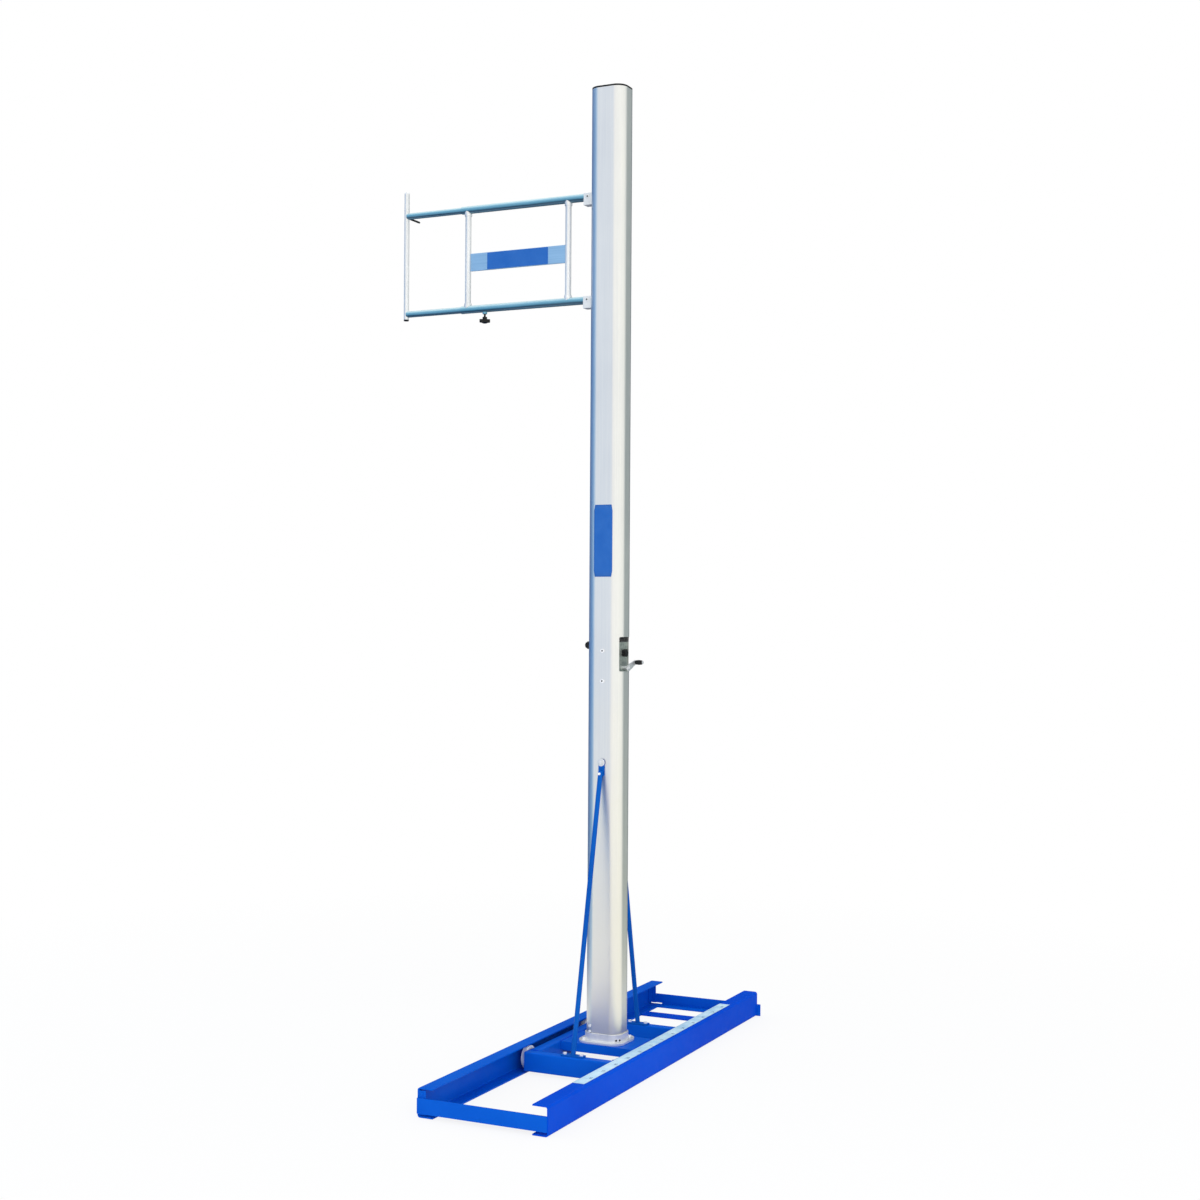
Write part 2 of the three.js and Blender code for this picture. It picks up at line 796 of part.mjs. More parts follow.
// Cable from the drum up to the pulley and over it
function cableUp() {
  const start = new THREE.Vector3(cableUpOffset, -drumPitch - seatGap, winchAxleHeight);
  const end = new THREE.Vector3(cableUpOffset, 0, pulleyHeight + cableRadius);
  const rise = leaningRod(cableRadius, cableSides, 0, start, end);
  const arcPoints = Array.from({ length: cableArcSteps + 1 }, (_, i) => {
    const angle = (Math.PI * i) / cableArcSteps;
    const reach = pulleyRadius * Math.cos(angle);
    return new THREE.Vector3(pulleyX + reach, 0, pulleyHeight + pulleyRadius * Math.sin(angle));
  });
  const loop = new THREE.ExtrudeGeometry(disc(cableRadius, cableSides), {
    steps: cableArcSteps,
    bevelEnabled: false,
    extrudePath: new THREE.CatmullRomCurve3(arcPoints),
  });
  return join(rise, loop);
}

// Stretch of cable between the pulley and the slider's lug
function cableDown() {
  const lugTop = upperTubeHeight + sliderOverhang;
  return alongZ(disc(cableRadius, cableSides, cableDownX, 0), lugTop + seatGap, pulleyHeight - seatGap);
}

// Winch pieces
function winchFrame() {
  const mid = winchPlateThickness / 2;
  const back = -mastInnerY + seatGap + mid;
  const outer = mastFaceX - winchOuterInset - mid;
  const frontOutline = strip(
    [
      [-winchBackReach, back],
      [mastFaceX - winchBendInset, back],
      [outer, back + winchBendRise],
      [outer, winchCheekReach],
    ],
    winchPlateThickness,
  );
  const front = alongZ(frontOutline, winchPlateBottom, winchPlateTop);
  const inner = block(
    winchInnerCheek - mid,
    winchInnerCheek + mid,
    back,
    winchInnerCheekReach,
    winchPlateBottom,
    winchPlateTop,
  );
  const shaftHole = alongX(disc(crankShaftRadius + seatGap, tubeSides, 0, winchAxleHeight), 0, mastFaceX);
  const stemHole = alongX(disc(brakeStemRadius + seatGap, boltSides, 0, brakeHeight), drumWidth, mastFaceX);
  const face = -mastFaceY - seatGap;
  const screws = winchScrewHeights.flatMap((height) => [
    alongY(disc(winchScrewHead, boltSides, 0, height), face - winchScrewHeadHeight, face),
    alongY(disc(winchScrewRadius, boltSides, 0, height), face - winchScrewHeadHeight / 2, back),
  ]);
  return join(cut(join(front, inner), shaftHole, stemHole), ...screws);
}

function drum() {
  const half = drumWidth / 2;
  const bore = crankShaftRadius + seatGap;
  const inner = half - drumFlangeThickness;
  const profile = [
    [bore, -half], [drumFlangeRadius, -half], [drumFlangeRadius, -inner], [drumRadius, -inner],
    [drumRadius, inner], [drumFlangeRadius, inner], [drumFlangeRadius, half], [bore, half],
  ];
  const middle = winchInnerCheek + winchPlateThickness / 2 + drumSideGap + half;
  return turned(profile, tubeSides).rotateY(Math.PI / 2).translate(middle, 0, winchAxleHeight);
}

function crankShaft() {
  const inner = winchInnerCheek - crankShaftTail;
  const outer = crankArmPlane + crankArmThickness + crankShaftStub;
  return alongX(disc(crankShaftRadius, tubeSides, 0, winchAxleHeight), inner, outer);
}

// Flat arm that tapers from the shaft's boss to the grip pin, drawn along +Y and then raised
function crankArm() {
  const lean = Math.asin((crankBossRadius - crankTipRadius) / crankArmLength);
  const outline = new THREE.Shape();
  outline.absarc(0, 0, crankBossRadius, Math.PI / 2 - lean, Math.PI * 1.5 + lean);
  outline.absarc(crankArmLength, 0, crankTipRadius, -Math.PI / 2 + lean, Math.PI / 2 - lean);
  outline.closePath();
  const armFace = crankArmPlane + crankArmThickness;
  const plate = alongX(outline, crankArmPlane, armFace);
  const pinEnd = armFace + gripLength + 2 * seatGap;
  const pin = alongX(disc(crankPinRadius, boltSides, crankArmLength, 0), crankArmPlane, pinEnd);
  const head = alongX(disc(crankPinHead, boltSides, crankArmLength, 0), pinEnd, pinEnd + crankPinHeadHeight);
  const bore = disc(crankShaftRadius + seatGap, tubeSides);
  const hole = alongX(bore, crankArmPlane - overrun, armFace + overrun);
  return cut(join(plate, pin, head), hole)
    .rotateX(THREE.MathUtils.degToRad(crankArmRise))
    .translate(0, 0, winchAxleHeight);
}

function crankGrip() {
  const half = gripLength / 2;
  const bore = crankPinRadius + seatGap;
  const neck = gripEndRadius * gripNeckShare;
  const shoulder = half * gripShoulderShare;
  const [waistInner, waistOuter] = gripWaistShares.map((share) => half * share);
  const profile = [
    [bore, -half], [neck, -half], [gripEndRadius, -shoulder], [gripWaistRadius, -waistInner],
    [gripWaistRadius, waistOuter], [gripEndRadius, shoulder], [neck, half], [bore, half],
  ];
  return turned(profile, tubeSides).rotateY(Math.PI / 2);
}

// Star knob on the winch's outer cheek
function brakeKnob() {
  const back = mastFaceX - winchOuterInset + brakeKnobStandoff;
  const knob = alongX(lobedDisc(brakeKnobRadius, lobeCount, lobeDepthShare), back, back + brakeKnobThickness);
  const stem = alongX(disc(brakeStemRadius, boltSides), back - brakeStemLength, back + overrun);
  return join(knob, stem);
}

// Nut block inside the mast's back wall
function lockBlock() {
  const inner = sliderFace + lockBlockThickness;
  const body = block(
    sliderFace,
    inner,
    -lockBlockWidth / 2,
    lockBlockWidth / 2,
    lockHeight - lockBlockLength / 2,
    lockHeight + lockBlockLength / 2,
  );
  const bore = disc(lockStemRadius + seatGap, boltSides, 0, lockHeight);
  return cut(body, alongX(bore, sliderFace - overrun, inner + overrun));
}

function lockKnob() {
  const wall = -mastFaceX - seatGap;
  const back = wall - lockKnobStandoff;
  const front = back - lockKnobThickness;
  const lobes = alongX(lobedDisc(lockKnobRadius, lobeCount, lobeDepthShare), front, back);
  const nose = alongX(disc(lockKnobRadius * lockNoseShare, boltSides), front - lockKnobNose, front + overrun);
  const collar = alongX(disc(lockKnobRadius * lockCollarShare, boltSides), back - overrun, wall);
  const stem = alongX(disc(lockStemRadius, boltSides), back - overrun, sliderFace + lockBlockThickness);
  return join(lobes, nose, collar, stem);
}

// Slider bar inside the mast, with a guide pad at each end and a lug for the cable
function sliderBar() {
  const face = sliderFace + guidePadThickness;
  const back = face + sliderThickness;
  const bottom = lowerTubeHeight - sliderOverhang;
  const top = upperTubeHeight + sliderOverhang;
  const half = sliderWidth / 2;
  const bar = block(face, back, -half, half, bottom, top);
  const pads = [bottom, top - guidePadLength].map((low) => block(
    sliderFace,
    back,
    -half,
    half,
    low,
    low + guidePadLength,
  ));
  const lugHalf = sliderLugWidth / 2;
  const lug = block(face, back + sliderLugReach, -lugHalf, lugHalf, top - sliderLugHeight, top);
  return join(bar, ...pads, lug);
}

// Cradle outside the slot, with a tongue that reaches through it to the slider bar
function bracket(height) {
  const wall = -mastFaceX - seatGap;
  const outer = wall - bracketLength;
  const low = height - bracketBelow;
  const high = height + bracketAbove;
  const body = block(outer, wall, -bracketHalf, bracketHalf, low, high);
  const inside = bracketHalf - bracketCheek;
  const web = wall - bracketWeb;
  const pocket = block(outer - overrun, web, -inside, inside, low + bracketFloor, high + overrun);
  const tongue = block(
    web,
    sliderFace + guidePadThickness - seatGap,
    -tongueWidth / 2,
    tongueWidth / 2,
    height - tongueHeight / 2,
    height + tongueHeight / 2 - overrun,
  );
  const boltX = wall - bracketBoltReach;
  const pin = alongY(disc(bracketBoltRadius, boltSides, boltX, height), -bracketHalf, bracketHalf);
  const heads = [-1, 1].map((side) => {
    const near = side * (bracketHalf - bracketCheek / 2);
    const far = side * (bracketHalf + bracketBoltHeadHeight);
    return alongY(disc(bracketBoltHead, boltSides, boltX, height), Math.min(near, far), Math.max(near, far));
  });
  return join(cut(body, pocket), tongue, pin, ...heads);
}

// Outer tube held in the cradle by a cross bolt; the lower one also carries the clamp's boss
function sleeve(height, tapped) {
  const tube = alongX(tubeOutline(sleeveRadius, sleeveWall, 0, height), -sleeveEnd, -sleeveStart);
  const boltX = -mastFaceX - seatGap - bracketBoltReach;
  const boltHole = alongY(
    disc(bracketBoltRadius + seatGap, boltSides, boltX, height),
    -bracketHalf,
    bracketHalf,
  );
  if (!tapped) {
    return cut(tube, boltHole);
  }
  const boss = alongZ(
    disc(clampBossRadius, tubeSides, -clampReach, 0),
    height - sleeveRadius - clampBossHeight,
    height - sleeveRadius + sleeveWall / 2,
  );
  const thread = alongZ(
    disc(clampStemRadius + seatGap, boltSides, -clampReach, 0),
    height - sleeveRadius - clampBossHeight - overrun,
    height,
  );
  return cut(join(tube, boss), boltHole, thread);
}

// Vertical tube between the sleeves, with a saddle-cut fitting at each end
function upright(reach) {
  const tube = alongZ(tubeOutline(uprightRadius, uprightWall, -reach, 0), lowerTubeHeight, upperTubeHeight);
  const fittingLength = sleeveRadius + uprightFittingHeight;
  const bore = uprightRadius - uprightWall;
  const fittings = [
    [lowerTubeHeight, lowerTubeHeight + fittingLength],
    [upperTubeHeight - fittingLength, upperTubeHeight],
  ].map(([low, high]) => alongZ(
    tubeOutline(uprightFittingRadius, uprightFittingRadius - bore, -reach, 0),
    low,
    high,
  ));
  const saddles = [lowerTubeHeight, upperTubeHeight].map((height) => alongX(
    disc(sleeveRadius + seatGap, tubeSides, 0, height),
    -reach - uprightFittingRadius * 2,
    -reach + uprightFittingRadius * 2,
  ));
  return cut(join(tube, ...fittings), ...saddles);
}

// Plate between the uprights, folded along its upper and lower edges
function signPlate() {
  const top = upperTubeHeight - signDrop + signHeight / 2;
  const bottom = top - signHeight;
  const mid = signThickness / 2;
  const fold = [[signLip, bottom + mid], [0, bottom + mid], [0, top - mid], [signLip, top - mid]];
  return alongX(
    strip(fold, signThickness),
    -outerUprightReach + uprightRadius + seatGap,
    -innerUprightReach - uprightRadius - seatGap,
  );
}

// Sliding half of the arm
function innerTube(height) {
  const end = endTubeReach - pegRadius - seatGap;
  const tube = alongX(tubeOutline(innerRadius, innerWall, 0, height), -end, -innerStart);
  const saddleCut = alongZ(
    disc(endTubeRadius + seatGap, tubeSides, -endTubeReach, 0),
    height - innerRadius * 2,
    height + innerRadius * 2,
  );
  return cut(tube, saddleCut);
}

function endTube() {
  return alongZ(
    tubeOutline(endTubeRadius, endTubeWall, -endTubeReach, 0),
    lowerTubeHeight - endTubeDrop,
    upperTubeHeight + endTubeRise,
  );
}

// Plug for an end of the end tube, drawn about the origin with its cap above
function endTubeCap() {
  const cap = alongZ(disc(endTubeRadius, tubeSides), seatGap, endCapThickness);
  const plugRadius = endTubeRadius - endTubeWall - seatGap;
  const plug = alongZ(disc(plugRadius, tubeSides), -endCapPlug, endCapThickness / 2);
  return join(cap, plug);
}

function barPeg() {
  const height = upperTubeHeight - pegDrop;
  const peg = alongY(disc(pegRadius, boltSides, -endTubeReach, height), 0, endTubeRadius + pegLength);
  const saddleCut = alongZ(
    disc(endTubeRadius + seatGap, tubeSides, -endTubeReach, 0),
    height - pegRadius * 2,
    height + pegRadius * 2,
  );
  return cut(peg, saddleCut);
}

// Wing knob below the lower sleeve, its stem reaching the inner tube
function clampScrew() {
  const bottom = -clampKnobDrop;
  const hubTop = bottom + clampKnobThickness + clampHubHeight;
  const wingOutline = lobedDisc(clampKnobRadius, clampLobes, clampLobeShare);
  const wings = alongZ(wingOutline, bottom, bottom + clampKnobThickness);
  const hub = alongZ(disc(clampHubRadius, tubeSides), bottom + clampKnobThickness / 2, hubTop);
  const stem = alongZ(disc(clampStemRadius, boltSides), hubTop - clampHubHeight / 2, -innerRadius - seatGap);
  return join(wings, hub, stem);
}

// Scene graph
const standard = new THREE.Group();

function add(name, shape, finish, parent = standard) {
  const mesh = new THREE.Mesh(shape, new THREE.MeshStandardMaterial(finish));
  mesh.name = name;
  parent.add(mesh);
  return mesh;
}

function addBase() {
  add('near_rail', rail(), paint);
  add('far_rail', rail(), paint).rotation.z = Math.PI;
  add('front_bar', frontBar(), paint);
  add('rear_bar', rearBar(), paint);
  add('floor_tie', floorTie(), paint);
  add('measuring_tape', measuringTape(), tapeFilm);
  add('end_stop_front', endStop(), paint).scale.x = -1;
  add('end_stop_rear', endStop(), paint).rotation.z = Math.PI;
}

function addCarriage() {
  add('front_beam', beam(), paint).position.y = -beamCentre;
  add('rear_beam', beam(), paint).position.y = beamCentre;
  add('near_side_member', sideMember(), paint);
  add('far_side_member', sideMember(), paint).rotation.z = Math.PI;
  add('saddle_plate', saddle(), paint);
  add('mast_foot', mastFoot(), anodised);
  add('front_stay', stay(), paint);
  add('rear_stay', stay(), paint).rotation.z = Math.PI;
  add('front_stay_bolt', stayBolt(), zinc);
  add('rear_stay_bolt', stayBolt(), zinc).rotation.z = Math.PI;
  const wheelMiddle = (wheelInner + wheelOuter) / 2;
  for (const [end, sign] of [['front', -1], ['rear', 1]]) {
    add(`axle_near_${end}`, axle(), zinc).position.y = sign * wheelCentre;
    const far = add(`axle_far_${end}`, axle(), zinc);
    far.rotation.z = Math.PI;
    far.position.y = sign * wheelCentre;
    add(`wheel_near_${end}`, wheel(), nylon).position.set(wheelMiddle, sign * wheelCentre, wheelAxle);
    add(`wheel_far_${end}`, wheel(), nylon).position.set(-wheelMiddle, sign * wheelCentre, wheelAxle);
  }
}

function addMast() {
  add('mast', mast(), anodised);
  add('mast_cap', mastCap(), blackPlastic);
  add('pulley_bracket', pulleyBracket(), zinc);
  add('head_pulley', pulley(), nylon).position.set(pulleyX, 0, pulleyHeight);
  add('cable_up', cableUp(), steelRope);
  add('cable_down', cableDown(), steelRope);
  add('lock_block', lockBlock(), zinc);
  add('lock_knob', lockKnob(), blackPlastic).position.z = lockHeight;
}

function addWinch() {
  add('winch_frame', winchFrame(), zinc);
  add('winch_drum', drum(), zinc);
  add('crank_shaft', crankShaft(), zinc);
  add('crank_arm', crankArm(), zinc);
  const rise = THREE.MathUtils.degToRad(crankArmRise);
  add('crank_grip', crankGrip(), blackPlastic).position.set(
    crankArmPlane + crankArmThickness + seatGap + gripLength / 2,
    crankArmLength * Math.cos(rise),
    winchAxleHeight + crankArmLength * Math.sin(rise),
  );
  add('brake_knob', brakeKnob(), blackPlastic).position.z = brakeHeight;
}

function addArm() {
  add('slider_bar', sliderBar(), zinc);
  add('upper_bracket', bracket(upperTubeHeight), anodised);
  add('lower_bracket', bracket(lowerTubeHeight), anodised);
  add('upper_sleeve', sleeve(upperTubeHeight, false), tubeAluminium);
  add('lower_sleeve', sleeve(lowerTubeHeight, true), tubeAluminium);
  add('inner_upright', upright(innerUprightReach), anodised);
  add('outer_upright', upright(outerUprightReach), anodised);
  add('sign_plate', signPlate(), tubeAluminium);
  add('upper_inner_tube', innerTube(upperTubeHeight), tubeAluminium);
  add('lower_inner_tube', innerTube(lowerTubeHeight), tubeAluminium);
  add('end_tube', endTube(), anodised);
  const topCap = add('top_end_cap', endTubeCap(), nylon);
  topCap.position.set(-endTubeReach, 0, upperTubeHeight + endTubeRise);
  const bottomCap = add('bottom_end_cap', endTubeCap(), blackPlastic);
  bottomCap.position.set(-endTubeReach, 0, lowerTubeHeight - endTubeDrop);
  bottomCap.rotation.x = Math.PI;
  add('bar_peg', barPeg(), blackPlastic);
  add('clamp_screw', clampScrew(), blackPlastic).position.set(-clampReach, 0, lowerTubeHeight);
}

addBase();
addCarriage();
addMast();
addWinch();
addArm();

// The origin is below the middle of the whole part, on the floor
const reachLeft = endTubeReach + endTubeRadius;
const reachRight = railOuter + rearBarReach;
standard.position.x = (reachLeft - reachRight) / 2;
standard.updateMatrixWorld(true);

export default standard;
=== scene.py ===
"""Looks of the rolling pole vault standard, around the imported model. Metres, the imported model's frame."""
import json
import math

import bmesh
import bpy
from mathutils import Euler, Matrix, Vector


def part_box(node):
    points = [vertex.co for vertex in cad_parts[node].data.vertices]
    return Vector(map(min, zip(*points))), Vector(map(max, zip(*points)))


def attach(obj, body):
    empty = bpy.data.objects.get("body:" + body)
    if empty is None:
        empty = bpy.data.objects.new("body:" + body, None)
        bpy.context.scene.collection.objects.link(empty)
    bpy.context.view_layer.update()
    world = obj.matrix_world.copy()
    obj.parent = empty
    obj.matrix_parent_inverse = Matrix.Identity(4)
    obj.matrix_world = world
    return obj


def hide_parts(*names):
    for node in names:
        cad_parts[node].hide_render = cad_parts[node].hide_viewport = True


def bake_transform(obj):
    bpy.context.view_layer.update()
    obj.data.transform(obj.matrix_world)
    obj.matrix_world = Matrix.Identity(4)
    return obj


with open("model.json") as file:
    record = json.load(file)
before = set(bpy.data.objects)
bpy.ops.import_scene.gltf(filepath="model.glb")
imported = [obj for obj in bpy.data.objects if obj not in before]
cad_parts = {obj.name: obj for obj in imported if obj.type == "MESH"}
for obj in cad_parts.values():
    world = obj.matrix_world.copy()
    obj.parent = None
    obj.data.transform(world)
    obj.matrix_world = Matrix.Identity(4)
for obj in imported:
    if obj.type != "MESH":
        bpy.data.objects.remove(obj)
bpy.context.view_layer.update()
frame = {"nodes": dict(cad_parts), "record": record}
nodes = frame["nodes"]

MM = 0.001

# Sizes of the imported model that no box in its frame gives, in millimetres
SEAT_GAP = 0.3
MAST_CORNER = 40
COLLAR_WALL = 5
COLLAR_SCREW_HEAD = 3
COLLAR_SCREW_DROP = 19
COLLAR_SCREW_ANGLE = -39
COLLAR_SCREW_SPREAD = 9
WINCH_SCREW_HEIGHTS = (1421, 1533)
BRACKET_BOLT_INSET = 17
BRACKET_BOLT_DROP = 13
DRUM_RADIUS = 20
DRUM_FLANGE = 4

# Points nearer to each other than this are one point, in metres
SAME_PLACE = 1e-7


# Places in the frame

def tenths(length):
    """A length of the frame, in metres, as millimetres rounded to the tenth."""
    return round(length / MM, 1)


def mast_axis():
    """Where the mast's axis stands: the frame's origin is below the middle of the whole part."""
    low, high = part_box("mast")
    return tenths((low.x + high.x) / 2) * MM


MAST_X = mast_axis()


def at(x, y, z):
    """A place given in millimetres from the mast's axis on the floor."""
    return Vector((MAST_X + x * MM, y * MM, z * MM))


class Edges:
    """The sides of a node's box, in millimetres from the mast's axis on the floor."""

    def __init__(self, node):
        low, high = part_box(node)
        self.left = tenths(low.x - MAST_X)
        self.right = tenths(high.x - MAST_X)
        self.front = tenths(low.y)
        self.back = tenths(high.y)
        self.bottom = tenths(low.z)
        self.top = tenths(high.z)


# The mast's faces lie as far in front of its axis as behind it, but the heads of its corner bolts stand
# out in front, so its depth is read at the back
MAST = Edges("mast")
# The half width of its faces between the round corners
MAST_FLAT = MAST.right - MAST_CORNER


# Camera: its place in millimetres from the mast's axis, turns in degrees, lens and sensor in millimetres

CAMERA_PLACE = (2804.7, -5930.8, 1676.2)
CAMERA_TILT = 90.3994
CAMERA_ROLL = -0.3468
CAMERA_TURN = 25.6127
SENSOR_WIDTH = 36
LENS = 52.575
FAR_CLIP = 200


def add_camera():
    """The photograph's camera."""
    data = bpy.data.cameras.new("camera")
    data.sensor_width = SENSOR_WIDTH
    data.lens = LENS
    data.clip_end = FAR_CLIP
    camera = bpy.data.objects.new("camera", data)
    turn = Euler([math.radians(angle) for angle in (CAMERA_TILT, CAMERA_ROLL, CAMERA_TURN)])
    camera.matrix_world = Matrix.Translation(at(*CAMERA_PLACE)) @ turn.to_matrix().to_4x4()
    bpy.context.scene.collection.objects.link(camera)
    bpy.context.scene.camera = camera


add_camera()


# Materials

def linear(r, g, b):
    """An sRGB colour of 0-255 as linear RGBA."""
    def one(value):
        value /= 255
        return value / 12.92 if value <= 0.04045 else ((value + 0.055) / 1.055) ** 2.4
    return (one(r), one(g), one(b), 1.0)


class Look:
    """Short calls for building a material's node tree."""

    def __init__(self, name):
        self.mat = bpy.data.materials.new(name)
        self.mat.use_nodes = True
        self.tree = self.mat.node_tree
        self.tree.nodes.clear()
        self.out = self.tree.nodes.new("ShaderNodeOutputMaterial")
        self.shader = self.tree.nodes.new("ShaderNodeBsdfPrincipled")
        self.link(self.shader.outputs[0], self.out.inputs["Surface"])
        coordinates = self.tree.nodes.new("ShaderNodeTexCoord")
        self.coord = coordinates.outputs["Object"]
        self.facing = coordinates.outputs["Normal"]

    def link(self, output, socket):
        self.tree.links.new(output, socket)

    def put(self, socket, value):
        """Link a socket to another one, or set it to a constant."""
        if isinstance(value, bpy.types.NodeSocket):
            self.link(value, socket)
        else:
            socket.default_value = value

    def scaled(self, x, y, z):
        mapping = self.tree.nodes.new("ShaderNodeMapping")
        mapping.inputs["Scale"].default_value = (x, y, z)
        self.link(self.coord, mapping.inputs["Vector"])
        return mapping.outputs[0]

    def noise(self, scale, detail=3.0, rough=0.5, vector=None):
        noise = self.tree.nodes.new("ShaderNodeTexNoise")
        noise.inputs["Scale"].default_value = scale
        noise.inputs["Detail"].default_value = detail
        noise.inputs["Roughness"].default_value = rough
        self.link(vector if vector is not None else self.coord, noise.inputs["Vector"])
        return noise.outputs["Fac"]

    def voronoi(self, scale):
        cells = self.tree.nodes.new("ShaderNodeTexVoronoi")
        cells.inputs["Scale"].default_value = scale
        self.link(self.coord, cells.inputs["Vector"])
        return cells.outputs["Distance"]

    def ramp(self, value, stops):
        """Colours along a value, each stop a position and a colour."""
        node = self.tree.nodes.new("ShaderNodeValToRGB")
        elements = node.color_ramp.elements
        while len(elements) < len(stops):
            elements.new(0.5)
        for element, (position, color) in zip(elements, stops):
            element.position = position
            element.color = color
        self.link(value, node.inputs["Fac"])
        return node.outputs["Color"]

    def remap(self, value, from_min, from_max, to_min, to_max):
        node = self.tree.nodes.new("ShaderNodeMapRange")
        self.link(value, node.inputs["Value"])
        limits = (from_min, from_max, to_min, to_max)
        for key, limit in zip(("From Min", "From Max", "To Min", "To Max"), limits):
            node.inputs[key].default_value = limit
        return node.outputs["Result"]

    def calc(self, operation, first, second=0.0):
        node = self.tree.nodes.new("ShaderNodeMath")
        node.operation = operation
        self.put(node.inputs[0], first)
        self.put(node.inputs[1], second)
        return node.outputs[0]

    def mix(self, share, first, second):
        """The first colour, with a share of the second one in it."""
        node = self.tree.nodes.new("ShaderNodeMix")
        node.data_type = "RGBA"
        self.put(node.inputs["Factor"], share)
        colors = [socket for socket in node.inputs if socket.type == "RGBA"]
        self.put(colors[0], first)
        self.put(colors[1], second)
        return [socket for socket in node.outputs if socket.type == "RGBA"][0]

    def bump(self, height, strength, depth, normal=None):
        node = self.tree.nodes.new("ShaderNodeBump")
        node.inputs["Strength"].default_value = strength
        node.inputs["Distance"].default_value = depth
        self.link(height, node.inputs["Height"])
        if normal is not None:
            self.link(normal, node.inputs["Normal"])
        return node.outputs["Normal"]

    def xyz(self):
        node = self.tree.nodes.new("ShaderNodeSeparateXYZ")
        self.link(self.coord, node.inputs[0])
        return node.outputs

    def set(self, **values):
        names = {
            "color": "Base Color", "rough": "Roughness", "metal": "Metallic", "normal": "Normal",
            "coat": "Coat Weight", "coat_rough": "Coat Roughness", "specular": "Specular IOR Level",
        }
        for key, value in values.items():
            self.put(self.shader.inputs[names[key]], value)


def powder_coat(name, dark, light, specular):
    """Blue powder coat over steel, with a fine orange peel and a little dust."""
    peel_depth = 0.4 * MM
    look = Look(name)
    tone = look.noise(2.4, 4, 0.55)
    peel = look.noise(260, 2)
    dust_and_highlight = look.noise(34, 6, 0.65)
    base_tone = look.ramp(tone, [(0.3, dark), (0.7, light)])
    look.set(
        color=look.mix(look.remap(dust_and_highlight, 0.58, 0.8, 0.0, 0.10), base_tone, linear(36, 114, 214)),
        rough=look.remap(dust_and_highlight, 0.35, 0.75, 0.34, 0.5),
        normal=look.bump(peel, 0.12, peel_depth),
        specular=specular,
    )
    return look.mat


def anodised(name, dark, light, line_scale, axis, metal, satin):
    """Satin anodised extrusion, with die lines along one axis and a cream tint towards the floor that is a
    painted warm highlight.
    """
    lengthwise_share = 0.012
    grain_depth = 0.1 * MM
    # A cream tint, a painted warm highlight, thins out between these heights, in metres
    tinted_below, plain_above, tint_waver = 0.1, 1.4, 0.1
    stretch = {"z": (1, 1, lengthwise_share), "x": (lengthwise_share, 1, 1)}[axis]
    look = Look(name)
    lines = look.noise(line_scale, 3, 0.6, look.scaled(*stretch))
    cloud = look.noise(3.0, 3)
    grain = look.noise(1400, 2)
    handled = look.noise(9, 5, 0.6)
    tone = look.calc("ADD", look.calc("MULTIPLY", lines, 0.5), look.calc("MULTIPLY", cloud, 0.5))
    base_tone = look.ramp(tone, [(0.35, dark), (0.65, light)])
    height = look.calc("ADD", look.xyz()[2], look.remap(handled, 0.3, 0.7, -tint_waver, tint_waver))
    dust_and_highlight = look.remap(height, tinted_below, plain_above, 0.85, 0.0)
    satin_lines = look.remap(lines, 0.3, 0.7, satin, satin + 0.04)
    look.set(
        # The cream mixed in towards the floor is a painted warm highlight
        color=look.mix(dust_and_highlight, base_tone, linear(242, 238, 224)),
        metal=metal,
        rough=look.calc("ADD", satin_lines, look.remap(handled, 0.5, 0.8, 0.0, 0.04)),
        normal=look.bump(grain, 0.012, grain_depth, look.bump(lines, 0.012, grain_depth)),
    )
    return look.mat


def tube_with_painted_light():
    """Blue-grey anodised arm tube, with a painted highlight on top and painted shade underneath: lighter on
    top, darker and duller underneath.
    """
    lengthwise_share = 0.012
    line_depth = 0.1 * MM
    look = Look("tube_aluminium")
    lines = look.noise(240, 3, 0.6, look.scaled(lengthwise_share, 1, 1))
    cloud = look.noise(5, 4, 0.55)
    split = look.tree.nodes.new("ShaderNodeSeparateXYZ")
    look.link(look.facing, split.inputs[0])
    # Painted light by the way the surface faces: a painted highlight on top, painted shade underneath
    upward = look.calc("ADD", split.outputs[2], look.remap(cloud, 0.3, 0.7, -0.08, 0.08))
    painted_shade_and_highlight = look.ramp(look.remap(upward, -1, 1, 0, 1), [
        (0.04, linear(92, 128, 144)), (0.22, linear(4, 44, 68)), (0.40, linear(80, 146, 176)),
        (0.64, linear(126, 184, 208)), (0.90, linear(214, 242, 248)),
    ])
    look.set(
        color=look.mix(look.remap(lines, 0.35, 0.65, 0.0, 0.16), painted_shade_and_highlight, linear(176, 206, 220)),
        metal=0.6,
        rough=look.remap(lines, 0.3, 0.7, 0.28, 0.36),
        normal=look.bump(lines, 0.02, line_depth),
    )
    return look.mat


def cast_aluminium():
    """Smooth turned casting, brighter than the extrusions and a little cloudy."""
    grain_depth = 0.2 * MM
    look = Look("cast_aluminium")
    cloud = look.noise(36, 4, 0.6)
    grain = look.noise(1100, 3, 0.6)
    look.set(
        color=look.ramp(cloud, [(0.3, linear(222, 226, 230)), (0.7, linear(244, 245, 246))]),
        metal=0.45,
        rough=look.remap(cloud, 0.3, 0.7, 0.3, 0.4),
        normal=look.bump(grain, 0.1, grain_depth),
    )
    return look.mat


def zinc(name, dark, light, metal):
    """Zinc plate with a small spangle."""
    cloud_depth = 0.3 * MM
    look = Look(name)
    spangle = look.voronoi(420)
    cloud = look.noise(60, 4, 0.6)
    look.set(
        color=look.ramp(cloud, [(0.3, dark), (0.7, light)]),
        metal=metal,
        rough=look.remap(spangle, 0.0, 0.8, 0.26, 0.42),
        normal=look.bump(cloud, 0.1, cloud_depth),
    )
    return look.mat


